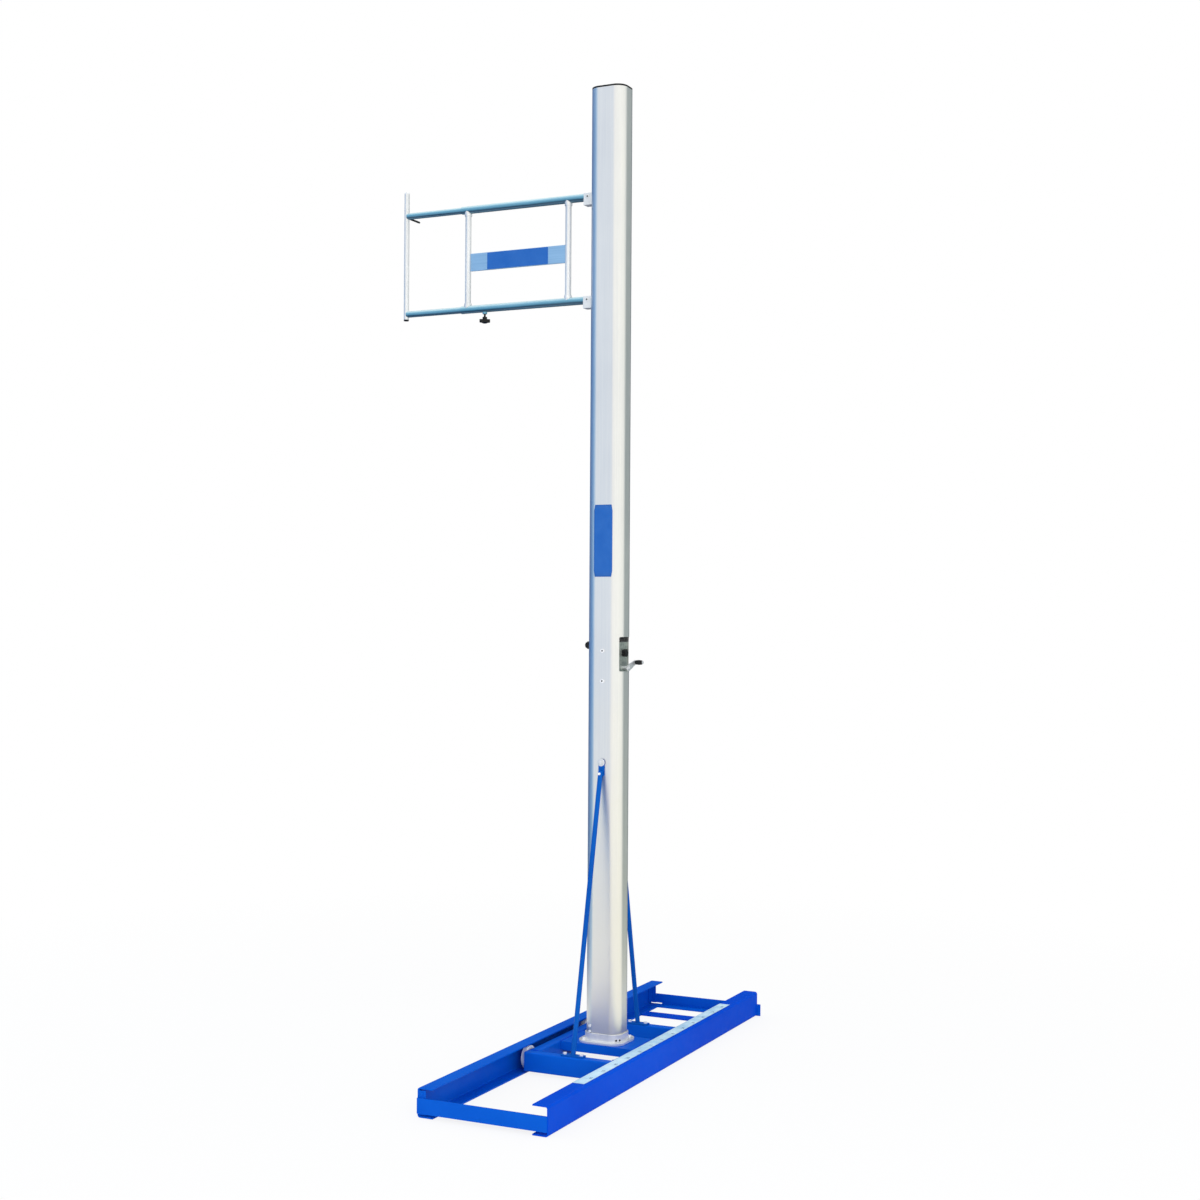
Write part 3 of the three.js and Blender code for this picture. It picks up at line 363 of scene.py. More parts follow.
def rope():
    """Steel rope, with the lay of its strands."""
    strand_depth = 0.6 * MM
    look = Look("steel_rope")
    lay = look.tree.nodes.new("ShaderNodeTexWave")
    lay.bands_direction = "DIAGONAL"
    lay.inputs["Scale"].default_value = 190
    lay.inputs["Distortion"].default_value = 0.4
    look.link(look.coord, lay.inputs["Vector"])
    strands = lay.outputs["Fac"]
    look.set(
        color=look.ramp(strands, [(0.1, linear(84, 87, 90)), (0.8, linear(170, 174, 177))]),
        metal=0.9,
        rough=look.remap(strands, 0, 1, 0.5, 0.32),
        normal=look.bump(strands, 0.6, strand_depth),
    )
    return look.mat


def nylon():
    """White turned nylon, scuffed by use."""
    turning_depth = 0.3 * MM
    look = Look("white_nylon")
    turned = look.noise(220, 2)
    scuff = look.noise(26, 6, 0.7)
    look.set(
        color=look.ramp(scuff, [(0.3, linear(234, 238, 241)), (0.62, linear(250, 252, 252))]),
        rough=look.remap(scuff, 0.3, 0.7, 0.38, 0.6),
        normal=look.bump(turned, 0.1, turning_depth),
    )
    return look.mat


def black_plastic():
    """Moulded plastic with a fine grain, worn a little grey."""
    grain_depth = 0.3 * MM
    look = Look("black_moulded_plastic")
    grain = look.noise(900, 3, 0.55)
    worn = look.noise(40, 5, 0.6)
    look.set(
        color=look.ramp(worn, [(0.35, linear(9, 10, 12)), (0.75, linear(28, 30, 33))]),
        rough=look.remap(worn, 0.3, 0.7, 0.36, 0.58),
        normal=look.bump(grain, 0.25, grain_depth),
        specular=0.3,
    )
    return look.mat


def sticker(name, color):
    """Plain vinyl label."""
    peel_depth = 0.2 * MM
    look = Look(name)
    cloud = look.noise(18, 4, 0.6)
    peel = look.noise(700, 2)
    look.set(
        color=look.mix(look.remap(cloud, 0.35, 0.75, 0.0, 0.12), color, linear(90, 150, 220)),
        rough=look.remap(cloud, 0.3, 0.7, 0.28, 0.4),
        normal=look.bump(peel, 0.06, peel_depth),
        specular=0.3,
        coat=0.1,
        coat_rough=0.12,
    )
    return look.mat


def tape_film():
    """Pale measuring tape: short ticks each 10 mm, longer ones each 50 mm and a full line each 100 mm."""
    fine_step, fine_width, fine_length = 10 * MM, 1.4 * MM, 13 * MM
    middle_step, middle_width, middle_length = 50 * MM, 1.8 * MM, 20 * MM
    whole_step, whole_width = 100 * MM, 2.2 * MM
    border = 1.5 * MM
    film_depth = 0.3 * MM
    # A whole number of steps, in metres, that keeps the distance along the tape positive
    ahead = 10.0
    look = Look("tape_film")
    x, y, _ = look.xyz()
    across = look.calc("SUBTRACT", x, MAST_X + Edges("measuring_tape").left * MM)

    def ticks(step, width):
        phase = look.calc("FRACT", look.calc("DIVIDE", look.calc("ADD", y, ahead), step))
        return look.calc("LESS_THAN", phase, width / step)

    def within(reach):
        return look.calc("LESS_THAN", across, reach)

    fine = look.calc("MULTIPLY", ticks(fine_step, fine_width), within(fine_length))
    middle = look.calc("MULTIPLY", ticks(middle_step, middle_width), within(middle_length))
    whole = look.calc("MAXIMUM", ticks(whole_step, whole_width), within(border))
    mark = look.calc("MAXIMUM", look.calc("MAXIMUM", fine, middle), whole)
    cloud = look.noise(20, 5, 0.6)
    ground = look.ramp(cloud, [(0.3, linear(176, 220, 250)), (0.7, linear(216, 242, 252))])
    look.set(
        color=look.mix(look.calc("MULTIPLY", mark, 0.42), ground, linear(60, 104, 150)),
        rough=look.remap(cloud, 0.3, 0.7, 0.3, 0.48),
        normal=look.bump(cloud, 0.08, film_depth),
    )
    return look.mat


def ink():
    """Printed numbers of the length scale."""
    look = Look("scale_ink")
    cloud = look.noise(300, 2)
    look.set(color=look.ramp(cloud, [(0.3, linear(30, 58, 104)), (0.7, linear(52, 84, 132))]), rough=0.5)
    return look.mat


def weld_metal():
    """Blue paint over a rippled weld bead."""
    ripple_depth = 0.8 * MM
    look = Look("painted_weld")
    ripple = look.noise(190, 3, 0.6)
    cloud = look.noise(30, 3)
    look.set(
        color=look.ramp(cloud, [(0.3, linear(3, 66, 196)), (0.7, linear(10, 88, 222))]),
        rough=look.remap(ripple, 0.3, 0.7, 0.34, 0.5),
        normal=look.bump(ripple, 0.5, ripple_depth),
        specular=0.08,
    )
    return look.mat


MAT = {
    "blue_paint": powder_coat("blue_powder_coat", linear(1, 68, 200), linear(4, 80, 212), 0.015),
    "frame_paint": powder_coat("frame_powder_coat", linear(2, 82, 198), linear(8, 97, 211), 0.04),
    "stay_paint": powder_coat("stay_powder_coat", linear(3, 76, 168), linear(10, 96, 190), 0.06),
    "anodised_aluminium": anodised(
        "anodised_aluminium", linear(236, 237, 239), linear(247, 247, 246), 180, "z", 0.92, 0.35,
    ),
    "upright_aluminium": anodised(
        "upright_aluminium", linear(226, 228, 230), linear(242, 243, 244), 240, "z", 0.55, 0.3,
    ),
    "sign_aluminium": anodised(
        "sign_aluminium", linear(128, 172, 214), linear(158, 200, 236), 120, "x", 0.6, 0.3,
    ),
    "tube_aluminium": tube_with_painted_light(),
    "cast_aluminium": cast_aluminium(),
    "zinc_steel": zinc("zinc_plate", linear(212, 216, 220), linear(242, 244, 246), 0.7),
    # Darker, greener zinc for the winch frame in the mast's window: partly its own tone, partly painted shade
    "shaded_winch_zinc": zinc("winch_zinc_plate", linear(146, 156, 150), linear(202, 209, 201), 0.75),
    # Near-white, hardly metallic zinc: zinc plate on the bolt heads with a painted highlight
    "highlight_white_zinc": zinc("bright_zinc_plate", linear(240, 244, 248), linear(254, 254, 254), 0.1),
    "steel_rope": rope(),
    "white_nylon": nylon(),
    "black_plastic": black_plastic(),
    "tape_film": tape_film(),
    "label": sticker("label_vinyl", linear(18, 94, 180)),
    "ink": ink(),
    "weld": weld_metal(),
}

# Nodes that look other than their material slot says
SPECIAL = {
    "frame_paint": (
        # The far rail and its end stops take the lighter frame paint, painted light that lifts the far rail's
        # shaded inner web
        "far_rail", "end_stop_front", "end_stop_rear", "front_bar", "rear_bar", "front_beam", "rear_beam",
        "near_side_member", "far_side_member", "saddle_plate",
    ),
    "stay_paint": ("front_stay", "rear_stay"),
    "upright_aluminium": ("inner_upright", "outer_upright", "end_tube", "upper_bracket", "lower_bracket"),
    "sign_aluminium": ("sign_plate",),
    "cast_aluminium": ("mast_foot",),
    # The winch frame takes the darker zinc, partly painted shade
    "shaded_winch_zinc": ("winch_frame",),
}
NODE_LOOK = {part["node"]: part["material_slot"] for part in frame["record"]["subparts"]}
NODE_LOOK.update({node: look for look, group in SPECIAL.items() for node in group})


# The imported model

EDGE_ROUND = 0.7 * MM
FINE_ROUND = 0.3 * MM
SHARP_ANGLE = 32
WELD_REACH = 0.01 * MM
NO_ROUND = {"measuring_tape", "cable_up", "cable_down"}
FINE = {
    "bar_peg", "top_end_cap", "bottom_end_cap", "crank_grip", "brake_knob", "lock_knob", "winch_frame",
    "end_tube", "upper_inner_tube", "lower_inner_tube", "upper_sleeve", "lower_sleeve", "head_pulley",
}


def dress(obj, width):
    """Smooth shading and a small round on every sharp edge."""
    for poly in obj.data.polygons:
        poly.use_smooth = True
    weld = obj.modifiers.new("weld", "WELD")
    weld.merge_threshold = WELD_REACH
    if width:
        bevel = obj.modifiers.new("bevel", "BEVEL")
        bevel.width = width
        bevel.segments = 2
        bevel.limit_method = "ANGLE"
        bevel.angle_limit = math.radians(SHARP_ANGLE)
        bevel.use_clamp_overlap = True
    normals = obj.modifiers.new("normals", "WEIGHTED_NORMAL")
    normals.keep_sharp = True
    normals.weight = 90


def edge_round(node):
    """How far a node's sharp edges are rounded."""
    if node in NO_ROUND:
        return 0.0
    return FINE_ROUND if node in FINE else EDGE_ROUND


for name, obj in nodes.items():
    obj.data.materials.clear()
    obj.data.materials.append(MAT[NODE_LOOK[name]])
    if obj.data.has_custom_normals:
        with bpy.context.temp_override(object=obj, active_object=obj):
            bpy.ops.mesh.customdata_custom_splitnormals_clear()
    dress(obj, edge_round(name))


# Bolt heads: their middles, in millimetres from the mast's axis, and how far their faces lie from them

STAY_BOLT_ACROSS = 33
STAY_BOLT_ALONG = 281
STAY_BOLT_HEIGHT = 91
STAY_BOLT_REACH = 8.5
STAY_PIN_ALONG = 80
STAY_PIN_HEIGHT = 1078
STAY_PIN_REACH = 6.5
FOOT_BOLT_ACROSS = 68
FOOT_BOLT_ALONG = 55
FOOT_BOLT_HEIGHT = 92
FOOT_BOLT_REACH = 7.5
CORNER_BOLT_ACROSS = -45
CORNER_BOLT_ALONG = -57.7
CORNER_BOLT_HEIGHTS = (117.8, 137.8)
CORNER_BOLT_REACH = 7
WINCH_SCREW_ALONG = -59
WINCH_SCREW_REACH = 9


def stay_heads(side):
    """The heads of one stay: two bolts in its foot and the pin in its tab."""
    foot = [
        ((across, side * STAY_BOLT_ALONG, STAY_BOLT_HEIGHT), STAY_BOLT_REACH)
        for across in (-STAY_BOLT_ACROSS, STAY_BOLT_ACROSS)
    ]
    return foot + [((0, side * STAY_PIN_ALONG, STAY_PIN_HEIGHT), STAY_PIN_REACH)]


HEADS = {
    "front_stay": stay_heads(-1),
    "rear_stay": stay_heads(1),
    "mast_foot": [
        ((side * FOOT_BOLT_ACROSS, side * FOOT_BOLT_ALONG, FOOT_BOLT_HEIGHT), FOOT_BOLT_REACH)
        for side in (-1, 1)
    ],
    "mast": [
        ((CORNER_BOLT_ACROSS, CORNER_BOLT_ALONG, height), CORNER_BOLT_REACH)
        for height in CORNER_BOLT_HEIGHTS
    ],
    "winch_frame": [
        ((0, WINCH_SCREW_ALONG, height), WINCH_SCREW_REACH) for height in WINCH_SCREW_HEIGHTS
    ],
}

for name, heads in HEADS.items():
    mesh = nodes[name].data
    # Bolt heads take the near-white zinc, a painted highlight
    mesh.materials.append(MAT["highlight_white_zinc"])
    for poly in mesh.polygons:
        place = (poly.center - Vector((MAST_X, 0, 0))) / MM
        if any((place - Vector(centre)).length < reach for centre, reach in heads):
            poly.material_index = 1


# Pieces that only the looks have

def mesh_piece(name, verts, faces, material, body, smooth=True):
    """A piece from its vertices and faces, which rides on a body if one is given."""
    data = bpy.data.meshes.new(name)
    data.from_pydata([tuple(v) for v in verts], [], faces)
    data.validate()
    bm = bmesh.new()
    bm.from_mesh(data)
    bmesh.ops.remove_doubles(bm, verts=bm.verts, dist=SAME_PLACE)
    bmesh.ops.recalc_face_normals(bm, faces=bm.faces)
    bm.to_mesh(data)
    bm.free()
    for poly in data.polygons:
        poly.use_smooth = smooth
    data.materials.append(material)
    obj = bpy.data.objects.new(name, data)
    bpy.context.scene.collection.objects.link(obj)
    if body:
        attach(obj, body)
    return obj


def tube_faces(rings, sides):
    """Faces that join rings of vertices to a closed tube."""
    faces = []
    for ring in range(rings - 1):
        for side in range(sides):
            here = ring * sides + side
            beside = ring * sides + (side + 1) % sides
            faces.append((here, beside, beside + sides, here + sides))
    last = (rings - 1) * sides
    faces.append(tuple(range(sides - 1, -1, -1)))
    faces.append(tuple(range(last, last + sides)))
    return faces


def round_bar(path, radii, sides):
    """Vertices and faces of a closed round bar along a path of points, with a radius at each."""
    verts = []
    outward = None
    for i, (point, radius) in enumerate(zip(path, radii)):
        ahead = path[min(i + 1, len(path) - 1)] - path[max(i - 1, 0)]
        ahead.normalize()
        if outward is None:
            outward = ahead.orthogonal().normalized()
        else:
            outward = (outward - ahead * outward.dot(ahead)).normalized()
        sideways = ahead.cross(outward)
        for side in range(sides):
            angle = 2 * math.pi * side / sides
            verts.append(point + (outward * math.cos(angle) + sideways * math.sin(angle)) * radius)
    return verts, tube_faces(len(path), sides)


# Weld beads, in millimetres
BEAD_RADIUS = 2.2
TIE_BEAD_RADIUS = 1.8
BEAD_STEP = 4
BEAD_FEWEST_STEPS = 4
BEAD_SIDES = 8
# The ripples' depths as shares of the radius, each with its pace from step to step
BEAD_RIPPLES = ((0.16, 2.4), (0.06, 5.1))
BEAD_END_SHARE = 0.5
# A bead starts and ends this far inside its seam
BEAD_END = 2
BEAD_START_ABOVE_FOOT = 4
BEAD_START_ABOVE_FLOOR = 10
BEAD_TOP_INSET = 0.5
# Its middle lies this far off the faces that it joins
BEAD_OFF_SEAM = 0.4
BEAD_OFF_MEMBER = 0.2
BEAD_OFF_END = 0.1


def rippled(step):
    """How thick a bead is at one of its steps, as a share of its radius."""
    return 1 + sum(depth * math.sin(step * pace) for depth, pace in BEAD_RIPPLES)


def weld_bead(name, start, end, body, radius):
    """A rippled bead between two points given in millimetres from the mast's axis."""
    first, last = at(*start), at(*end)
    count = max(int((last - first).length / (BEAD_STEP * MM)), BEAD_FEWEST_STEPS)
    path = [first.lerp(last, step / count) for step in range(count + 1)]
    radii = [radius * MM * rippled(step) for step in range(count + 1)]
    radii[0] *= BEAD_END_SHARE
    radii[-1] *= BEAD_END_SHARE
    verts, faces = round_bar(path, radii, BEAD_SIDES)
    return mesh_piece(name, verts, faces, MAT["weld"], body)


def side_name(side):
    return "near" if side > 0 else "far"


def carriage_beads():
    """Beads where the carriage's box sections and its saddle plate meet."""
    beam = Edges("rear_beam")
    member = Edges("near_side_member")
    saddle = Edges("saddle_plate")
    seam = beam.front - BEAD_OFF_SEAM
    half = saddle.back - BEAD_END
    for side in (-1, 1):
        inner = side * (member.left + BEAD_TOP_INSET)
        outer = side * (member.right - BEAD_TOP_INSET)
        face = side * (member.left - BEAD_OFF_MEMBER)
        for end in (-1, 1):
            y = end * seam
            tag = side_name(side) + ("_front" if end < 0 else "_rear")
            low = member.bottom + BEAD_START_ABOVE_FOOT
            high = member.top - BEAD_END
            weld_bead(
                "bead_top_" + tag, (inner, y, member.top), (outer, y, member.top), "carriage", BEAD_RADIUS,
            )
            weld_bead("bead_side_" + tag, (face, y, low), (face, y, high), "carriage", BEAD_RADIUS)
        edge = side * (saddle.right - BEAD_OFF_END)
        weld_bead(
            "bead_saddle_" + side_name(side), (edge, -half, saddle.top), (edge, half, saddle.top),
            "carriage", BEAD_RADIUS,
        )


def base_beads():
    """Beads where the end bars and the tie meet the rails."""
    front = Edges("front_bar")
    rear = Edges("rear_bar")
    rail = Edges("near_rail")
    tie = Edges("floor_tie")
    across = front.right - BEAD_OFF_END
    along = rail.back - BEAD_OFF_END
    for tag, y, low, high in (
        ("front", -along, front.bottom + BEAD_END, front.top - BEAD_END),
        ("rear", along, rear.bottom + BEAD_START_ABOVE_FLOOR, rear.top - BEAD_END),
    ):
        for side in (1, -1):
            x = side * across
            name = f"bead_{tag}_{side_name(side)}"
            weld_bead(name, (x, y, low), (x, y, high), "base", BEAD_RADIUS)
    height = tie.top - BEAD_OFF_SEAM
    for side in (-1, 1):
        x = side * (tie.right + BEAD_OFF_MEMBER)
        start = (x, tie.front + BEAD_END, height)
        end = (x, tie.back - BEAD_END, height)
        weld_bead("bead_tie_" + side_name(side), start, end, "base", TIE_BEAD_RADIUS)


# Label on the mast, in millimetres
LABEL_LOW = 1808
LABEL_HIGH = 2076
LABEL_HALF = 37.6
LABEL_CORNER = 4.0
LABEL_OFF = 0.15
LABEL_THICKNESS = 0.35
LABEL_ROWS = 12
LABEL_COLUMNS = 18


def round_the_mast(along, off):
    """A point off the mast's outline, at a distance along it from the middle of the front face."""
    radius = MAST_CORNER + off
    if abs(along) <= MAST_FLAT:
        return along, -(MAST.back + off)
    angle = (abs(along) - MAST_FLAT) / MAST_CORNER
    x = MAST_FLAT + radius * math.sin(angle)
    return math.copysign(x, along), MAST_CORNER - MAST.back - radius * math.cos(angle)


def mast_label():
    """Plain label wrapped a little round the mast's front face, with round corners."""
    verts, faces = [], []
    for layer in (0, LABEL_THICKNESS):
        for row in range(LABEL_ROWS + 1):
            z = LABEL_LOW + (LABEL_HIGH - LABEL_LOW) * (row / LABEL_ROWS)
            near_end = min(z - LABEL_LOW, LABEL_HIGH - z)
            inset = 0
            if near_end < LABEL_CORNER:
                inset = LABEL_CORNER - math.sqrt(LABEL_CORNER ** 2 - (LABEL_CORNER - near_end) ** 2)
            for column in range(LABEL_COLUMNS + 1):
                along = (LABEL_HALF - inset) * (2 * column / LABEL_COLUMNS - 1)
                x, y = round_the_mast(along, LABEL_OFF + layer)
                verts.append(at(x, y, z))
    stride = LABEL_COLUMNS + 1
    layer_size = stride * (LABEL_ROWS + 1)
    for layer in (0, 1):
        for row in range(LABEL_ROWS):
            for column in range(LABEL_COLUMNS):
                a = layer * layer_size + row * stride + column
                quad = (a, a + 1, a + 1 + stride, a + stride)
                faces.append(quad if layer else quad[::-1])
    rim = list(range(stride))
    rim += [row * stride + LABEL_COLUMNS for row in range(1, LABEL_ROWS + 1)]
    rim += [LABEL_ROWS * stride + column for column in range(LABEL_COLUMNS - 1, -1, -1)]
    rim += [row * stride for row in range(LABEL_ROWS - 1, 0, -1)]
    for a, b in zip(rim, rim[1:] + rim[:1]):
        faces.append((a, b, b + layer_size, a + layer_size))
    return mesh_piece("mast_label", verts, faces, MAT["label"], "carriage")


# Panel on the sign plate, in millimetres
SIGN_END_INSET = 74.2
SIGN_EDGE_INSET = 1.5
SIGN_OFF = 0.12
SIGN_REACH = 0.5
SIGN_CORNER = 2.0
SIGN_CORNER_POINTS = 6


def sign_panel():
    """Thin panel with round corners on the front of the sign plate."""
    plate = Edges("sign_plate")
    middles = (
        (plate.right - SIGN_END_INSET - SIGN_CORNER, plate.top - SIGN_EDGE_INSET - SIGN_CORNER),
        (plate.left + SIGN_END_INSET + SIGN_CORNER, plate.top - SIGN_EDGE_INSET - SIGN_CORNER),
        (plate.left + SIGN_END_INSET + SIGN_CORNER, plate.bottom + SIGN_EDGE_INSET + SIGN_CORNER),
        (plate.right - SIGN_END_INSET - SIGN_CORNER, plate.bottom + SIGN_EDGE_INSET + SIGN_CORNER),
    )
    points = []
    for quarter, (x, z) in enumerate(middles):
        for i in range(SIGN_CORNER_POINTS):
            angle = math.radians(90 * (quarter + i / (SIGN_CORNER_POINTS - 1)))
            points.append((x + SIGN_CORNER * math.cos(angle), z + SIGN_CORNER * math.sin(angle)))
    count = len(points)
    verts = [at(x, plate.front - off, z) for off in (SIGN_OFF, SIGN_REACH) for x, z in points]
    faces = [tuple(range(count - 1, -1, -1)), tuple(range(count, 2 * count))]
    faces += [(i, (i + 1) % count, (i + 1) % count + count, i + count) for i in range(count)]
    return mesh_piece("sign_panel", verts, faces, MAT["label"], "slider", smooth=False)


# Numbers on the tape, in millimetres
NUMBER_STEP = 100
NUMBER_STEPS = 6
NUMBER_SIZE = 18
NUMBER_DEPTH = 0.05
NUMBER_INSET = 31
NUMBER_AHEAD = 14


def tape_numbers():
    """Centimetre numbers on the tape, joined into one thin mesh."""
    tape = Edges("measuring_tape")
    bm = bmesh.new()
    for step in range(-NUMBER_STEPS, NUMBER_STEPS + 1):
        curve = bpy.data.curves.new("number", "FONT")
        curve.body = str(abs(step) * 10)
        curve.size = NUMBER_SIZE * MM
        curve.extrude = NUMBER_DEPTH * MM
        curve.align_x = "CENTER"
        curve.align_y = "CENTER"
        curve.resolution_u = 3
        holder = bpy.data.objects.new("number", curve)
        bpy.context.scene.collection.objects.link(holder)
        place = at(tape.left + NUMBER_INSET, step * NUMBER_STEP + NUMBER_AHEAD, tape.top + NUMBER_DEPTH)
        holder.matrix_world = Matrix.Translation(place) @ Matrix.Rotation(math.radians(90), 4, "Z")
        bpy.context.view_layer.update()
        mesh = bpy.data.meshes.new_from_object(holder.evaluated_get(bpy.context.evaluated_depsgraph_get()))
        mesh.transform(holder.matrix_world)
        bm.from_mesh(mesh)
        bpy.data.objects.remove(holder)
        bpy.data.curves.remove(curve)
        bpy.data.meshes.remove(mesh)
    data = bpy.data.meshes.new("tape_numbers")
    bm.to_mesh(data)
    bm.free()
    data.materials.append(MAT["ink"])
    obj = bpy.data.objects.new("tape_numbers", data)
    bpy.context.scene.collection.objects.link(obj)
    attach(obj, "base")
    return obj


# Rope on the drum, in millimetres
WINDING_TURNS = 7
WINDING_PITCH = 3.7
WINDING_STEPS = 20
WINDING_START = 1.5
WINDING_LIFT = 1.85
WINDING_RADIUS = 1.7
ROPE_SIDES = 8
STRETCH_STEPS = 48


def drum_winding():
    """Rope wound on the drum, between its flanges."""
    drum = Edges("winch_drum")
    radius = DRUM_RADIUS + WINDING_LIFT
    start = drum.left + DRUM_FLANGE + WINDING_START
    height = (drum.bottom + drum.top) / 2
    path = []
    for i in range(WINDING_TURNS * WINDING_STEPS + 1):
        angle = 2 * math.pi * i / WINDING_STEPS
        x = start + WINDING_PITCH * i / WINDING_STEPS
        path.append(at(x, -radius * math.cos(angle), height + radius * math.sin(angle)))
    verts, faces = round_bar(path, [WINDING_RADIUS * MM] * len(path), ROPE_SIDES)
    return mesh_piece("drum_winding", verts, faces, MAT["steel_rope"], "crank")


def rope_stretch():
    """Rope between the head pulley and the slider's lug, at its length at rest."""
    low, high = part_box("cable_down")
    radius = (high.x - low.x) / 2
    top = Vector(((low.x + high.x) / 2, (low.y + high.y) / 2, high.z))
    bottom = Vector((top.x, top.y, low.z))
    path = [top.lerp(bottom, i / STRETCH_STEPS) for i in range(STRETCH_STEPS + 1)]
    verts, faces = round_bar(path, [radius] * len(path), ROPE_SIDES)
    rope_piece = mesh_piece("rope_stretch", verts, faces, MAT["steel_rope"], None)
    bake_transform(rope_piece)
    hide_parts("cable_down")
    return rope_piece


# Recesses in the screws' heads, black cups of painted shade, in millimetres
BRACKET_RECESS_RADIUS = 3.4
WINCH_RECESS_RADIUS = 3.6
COLLAR_RECESS_RADIUS = 4.2
# The cup's rings: how far each lies out of the head, and its share of the radius
RECESS_SINK = -0.3
RECESS_RISE = 0.25
RECESS_FLOOR = 0.06
RECESS_RIM_SHARE = 0.82
RECESS_FLOOR_SHARE = 0.78
HEXAGON = 6


def painted_shade_socket(name, centre, axis, radius, body):
    """Hexagonal recess in a screw's head, a shallow black cup of painted shade that faces along the axis."""
    outward = Vector(axis).normalized()
    across = outward.orthogonal().normalized()
    sideways = outward.cross(across)
    middle = at(*centre)
    rings = (
        (RECESS_SINK, 1),
        (RECESS_RISE, 1),
        (RECESS_RISE, RECESS_RIM_SHARE),
        (RECESS_FLOOR, RECESS_FLOOR_SHARE),
    )
    verts = []
    for rise, share in rings:
        for corner in range(HEXAGON):
            angle = 2 * math.pi * corner / HEXAGON
            spoke = across * math.cos(angle) + sideways * math.sin(angle)
            verts.append(middle + (outward * rise + spoke * radius * share) * MM)
    faces = tube_faces(len(rings), HEXAGON)
    # Black material: painted shade of the socket
    return mesh_piece(name, verts, faces, MAT["black_plastic"], body, smooth=False)


def painted_shade_sockets():
    """Hexagon recesses, black cups of painted shade, in the screws that have them."""
    for number, node in enumerate(("lower_bracket", "upper_bracket")):
        bracket = Edges(node)
        centre = (bracket.left + BRACKET_BOLT_INSET, bracket.front, bracket.top - BRACKET_BOLT_DROP)
        painted_shade_socket(f"bracket_recess_{number}", centre, (0, -1, 0), BRACKET_RECESS_RADIUS, "slider")
    screw_face = Edges("winch_frame").front
    for number, height in enumerate(WINCH_SCREW_HEIGHTS):
        centre = (0, screw_face, height)
        painted_shade_socket(f"winch_recess_{number}", centre, (0, -1, 0), WINCH_RECESS_RADIUS, "carriage")
    out = MAST_CORNER + SEAT_GAP + COLLAR_WALL + COLLAR_SCREW_HEAD
    height = Edges("mast_foot").top - COLLAR_SCREW_DROP
    for side, tag in ((-1, "a"), (1, "b")):
        angle = math.radians(COLLAR_SCREW_ANGLE + side * COLLAR_SCREW_SPREAD)
        x = MAST_FLAT + out * math.cos(angle)
        y = MAST_CORNER - MAST.back + out * math.sin(angle)
        axis = (math.cos(angle), math.sin(angle), 0)
        painted_shade_socket("collar_recess_" + tag, (x, y, height), axis, COLLAR_RECESS_RADIUS, "carriage")


mast_label()
sign_panel()
tape_numbers()
drum_winding()
rope_stretch()
carriage_beads()
base_beads()
painted_shade_sockets()


# Stage and light

# What the metal sees round the horizon: azimuth in degrees from +X and an sRGB colour
HORIZON = (
    (-180, (50, 110, 172)), (-150, (76, 144, 202)), (-130, (112, 174, 222)), (-119, (222, 233, 241)),
    (-111, (252, 247, 245)), (-84, (255, 255, 248)), (20, (255, 255, 246)), (42, (212, 218, 212)),
    (58, (142, 156, 154)), (72, (86, 106, 110)), (90, (40, 60, 70)), (115, (4, 30, 64)),
    (145, (12, 72, 136)), (180, (50, 110, 172)),
)
# The horizon's colours fade to white towards straight up and down, by the direction's height
WHITE_STEEPNESS = 0.8
TINTED_STEEPNESS = 0.3

# The floor, in metres: its half width, its drop below the part, and where its tint and its glow change
FLOOR_HALF = 30
FLOOR_DROP = 0.0005
TINT_NEAR = 0.4
TINT_FAR = 1.6
GLOW_NEAR = 1.2
GLOW_FAR = 4.0
# How much of the floor is glow, near the part and far from it
GLOW_SHARES = (0.86, 1.0)

# Lamps: their places and targets in metres, their sides, power in watts and colour
LAMPS = {
    "key": ((5.4, -5.6, 2.9), (0.3, 0, 1.4), 5.0, 215, (1.0, 0.97, 0.97)),
    "side": ((-5.5, -2.2, 3.2), (0.3, 0, 1.8), 5.0, 80, (0.85, 0.93, 1.0)),
    "top": ((0.6, 0.4, 7.5), (0.3, 0, 0), 4.5, 110, (0.96, 0.98, 1.0)),
}
FILL_COLOR = (0.93, 0.96, 1.0, 1)
FILL_STRENGTH = 0.75
WHITE = (1, 1, 1, 1)


def horizon_color(tree, direction):
    """The colours of HORIZON by the azimuth of a vector from the middle of the stage."""
    turn = tree.nodes.new("ShaderNodeTexGradient")
    turn.gradient_type = "RADIAL"
    tree.links.new(direction, turn.inputs["Vector"])
    colors = tree.nodes.new("ShaderNodeValToRGB")
    tree.links.new(turn.outputs["Fac"], colors.inputs["Fac"])
    elements = colors.color_ramp.elements
    while len(elements) < len(HORIZON):
        elements.new(0.5)
    for element, (azimuth, rgb) in zip(elements, HORIZON):
        element.position = azimuth / 360 + 0.5
        element.color = linear(*rgb)
    return colors.outputs["Color"]


def faded(tree, color, value, white_at, color_at):
    """White where a value is at one number, and the colour where it is at the other."""
    fade = tree.nodes.new("ShaderNodeMapRange")
    fade.interpolation_type = "SMOOTHSTEP"
    fade.inputs["From Min"].default_value = white_at
    fade.inputs["From Max"].default_value = color_at
    tree.links.new(value, fade.inputs["Value"])
    mix = tree.nodes.new("ShaderNodeMix")
    mix.data_type = "RGBA"
    colors = [socket for socket in mix.inputs if socket.type == "RGBA"]
    tree.links.new(fade.outputs["Result"], mix.inputs["Factor"])
    colors[0].default_value = WHITE
    tree.links.new(color, colors[1])
    return [socket for socket in mix.outputs if socket.type == "RGBA"][0]


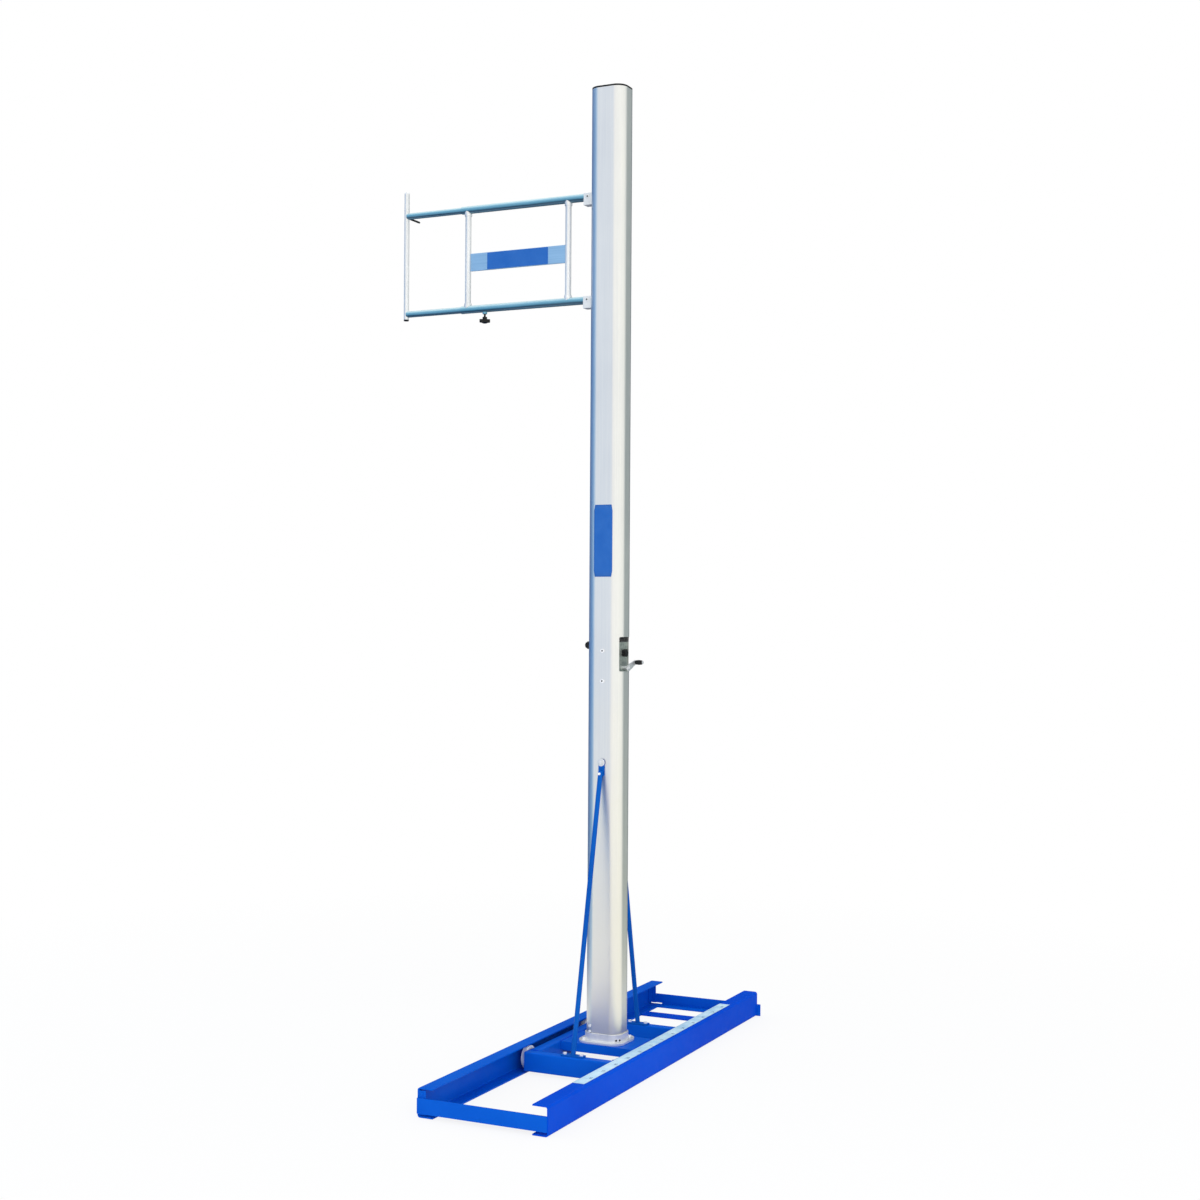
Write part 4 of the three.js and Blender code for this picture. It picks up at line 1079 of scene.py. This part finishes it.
def floor_material():
    """A white background that the lit floor shows through near the object, with its shadow."""
    look = Look("floor")
    look.set(color=(0.9, 0.9, 0.9, 1), rough=0.9, specular=0.1)
    path = look.tree.nodes.new("ShaderNodeLightPath").outputs
    glow = look.tree.nodes.new("ShaderNodeEmission")
    glow.inputs["Strength"].default_value = 1.0
    both = look.tree.nodes.new("ShaderNodeMixShader")
    x, y, _ = look.xyz()
    away = look.calc("SQRT", look.calc("ADD", look.calc("MULTIPLY", x, x), look.calc("MULTIPLY", y, y)))
    # Metal sees the floor further out in the horizon's colours, the camera sees it white
    tint = faded(look.tree, horizon_color(look.tree, look.coord), away, TINT_NEAR, TINT_FAR)
    look.link(look.mix(path["Is Glossy Ray"], WHITE, tint), glow.inputs["Color"])
    seen = look.calc("MAXIMUM", path["Is Camera Ray"], path["Is Glossy Ray"])
    seen = look.calc("MAXIMUM", seen, path["Is Transmission Ray"])
    glow_share = look.remap(away, GLOW_NEAR, GLOW_FAR, *GLOW_SHARES)
    look.link(look.calc("MULTIPLY", seen, glow_share), both.inputs[0])
    look.link(look.shader.outputs[0], both.inputs[1])
    look.link(glow.outputs[0], both.inputs[2])
    look.link(both.outputs[0], look.out.inputs["Surface"])
    return look.mat


def add_floor():
    data = bpy.data.meshes.new("floor")
    corners = [(x * FLOOR_HALF, y * FLOOR_HALF, 0) for x, y in ((-1, -1), (1, -1), (1, 1), (-1, 1))]
    data.from_pydata(corners, [], [(0, 1, 2, 3)])
    data.materials.append(floor_material())
    floor = bpy.data.objects.new("floor", data)
    floor.location.z = -FLOOR_DROP
    bpy.context.scene.collection.objects.link(floor)


def add_world():
    """White to the camera, tinted round the horizon in metal, and a soft even fill for the rest."""
    world = bpy.data.worlds.new("studio")
    bpy.context.scene.world = world
    world.use_nodes = True
    tree = world.node_tree
    tree.nodes.clear()
    out = tree.nodes.new("ShaderNodeOutputWorld")
    path = tree.nodes.new("ShaderNodeLightPath")

    def background(color, strength):
        node = tree.nodes.new("ShaderNodeBackground")
        node.inputs["Color"].default_value = color
        node.inputs["Strength"].default_value = strength
        return node

    def choose(ray, shown, otherwise):
        node = tree.nodes.new("ShaderNodeMixShader")
        tree.links.new(path.outputs[ray], node.inputs[0])
        tree.links.new(otherwise.outputs[0], node.inputs[1])
        tree.links.new(shown.outputs[0], node.inputs[2])
        return node

    direction = tree.nodes.new("ShaderNodeTexCoord").outputs["Generated"]
    split = tree.nodes.new("ShaderNodeSeparateXYZ")
    tree.links.new(direction, split.inputs[0])
    steep = tree.nodes.new("ShaderNodeMath")
    steep.operation = "ABSOLUTE"
    tree.links.new(split.outputs[2], steep.inputs[0])
    white = background(WHITE, 1.0)
    horizon = background(WHITE, 1.0)
    tinted = faded(tree, horizon_color(tree, direction), steep.outputs[0], WHITE_STEEPNESS, TINTED_STEEPNESS)
    tree.links.new(tinted, horizon.inputs["Color"])
    light = choose("Is Glossy Ray", horizon, background(FILL_COLOR, FILL_STRENGTH))
    light = choose("Is Transmission Ray", white, light)
    light = choose("Is Camera Ray", white, light)
    tree.links.new(light.outputs[0], out.inputs["Surface"])


def area_light(name, place, target, size, power, color):
    """A square lamp. It lights the object; what the metal reflects is the world's horizon alone."""
    data = bpy.data.lights.new(name, "AREA")
    data.shape = "SQUARE"
    data.size = size
    data.energy = power
    data.color = color
    lamp = bpy.data.objects.new(name, data)
    lamp.location = place
    lamp.rotation_euler = (Vector(target) - Vector(place)).to_track_quat("-Z", "Y").to_euler()
    lamp.visible_glossy = False
    bpy.context.scene.collection.objects.link(lamp)


add_floor()
add_world()
for name, lamp in LAMPS.items():
    area_light(name, *lamp)

bpy.context.scene.view_settings.view_transform = "Standard"
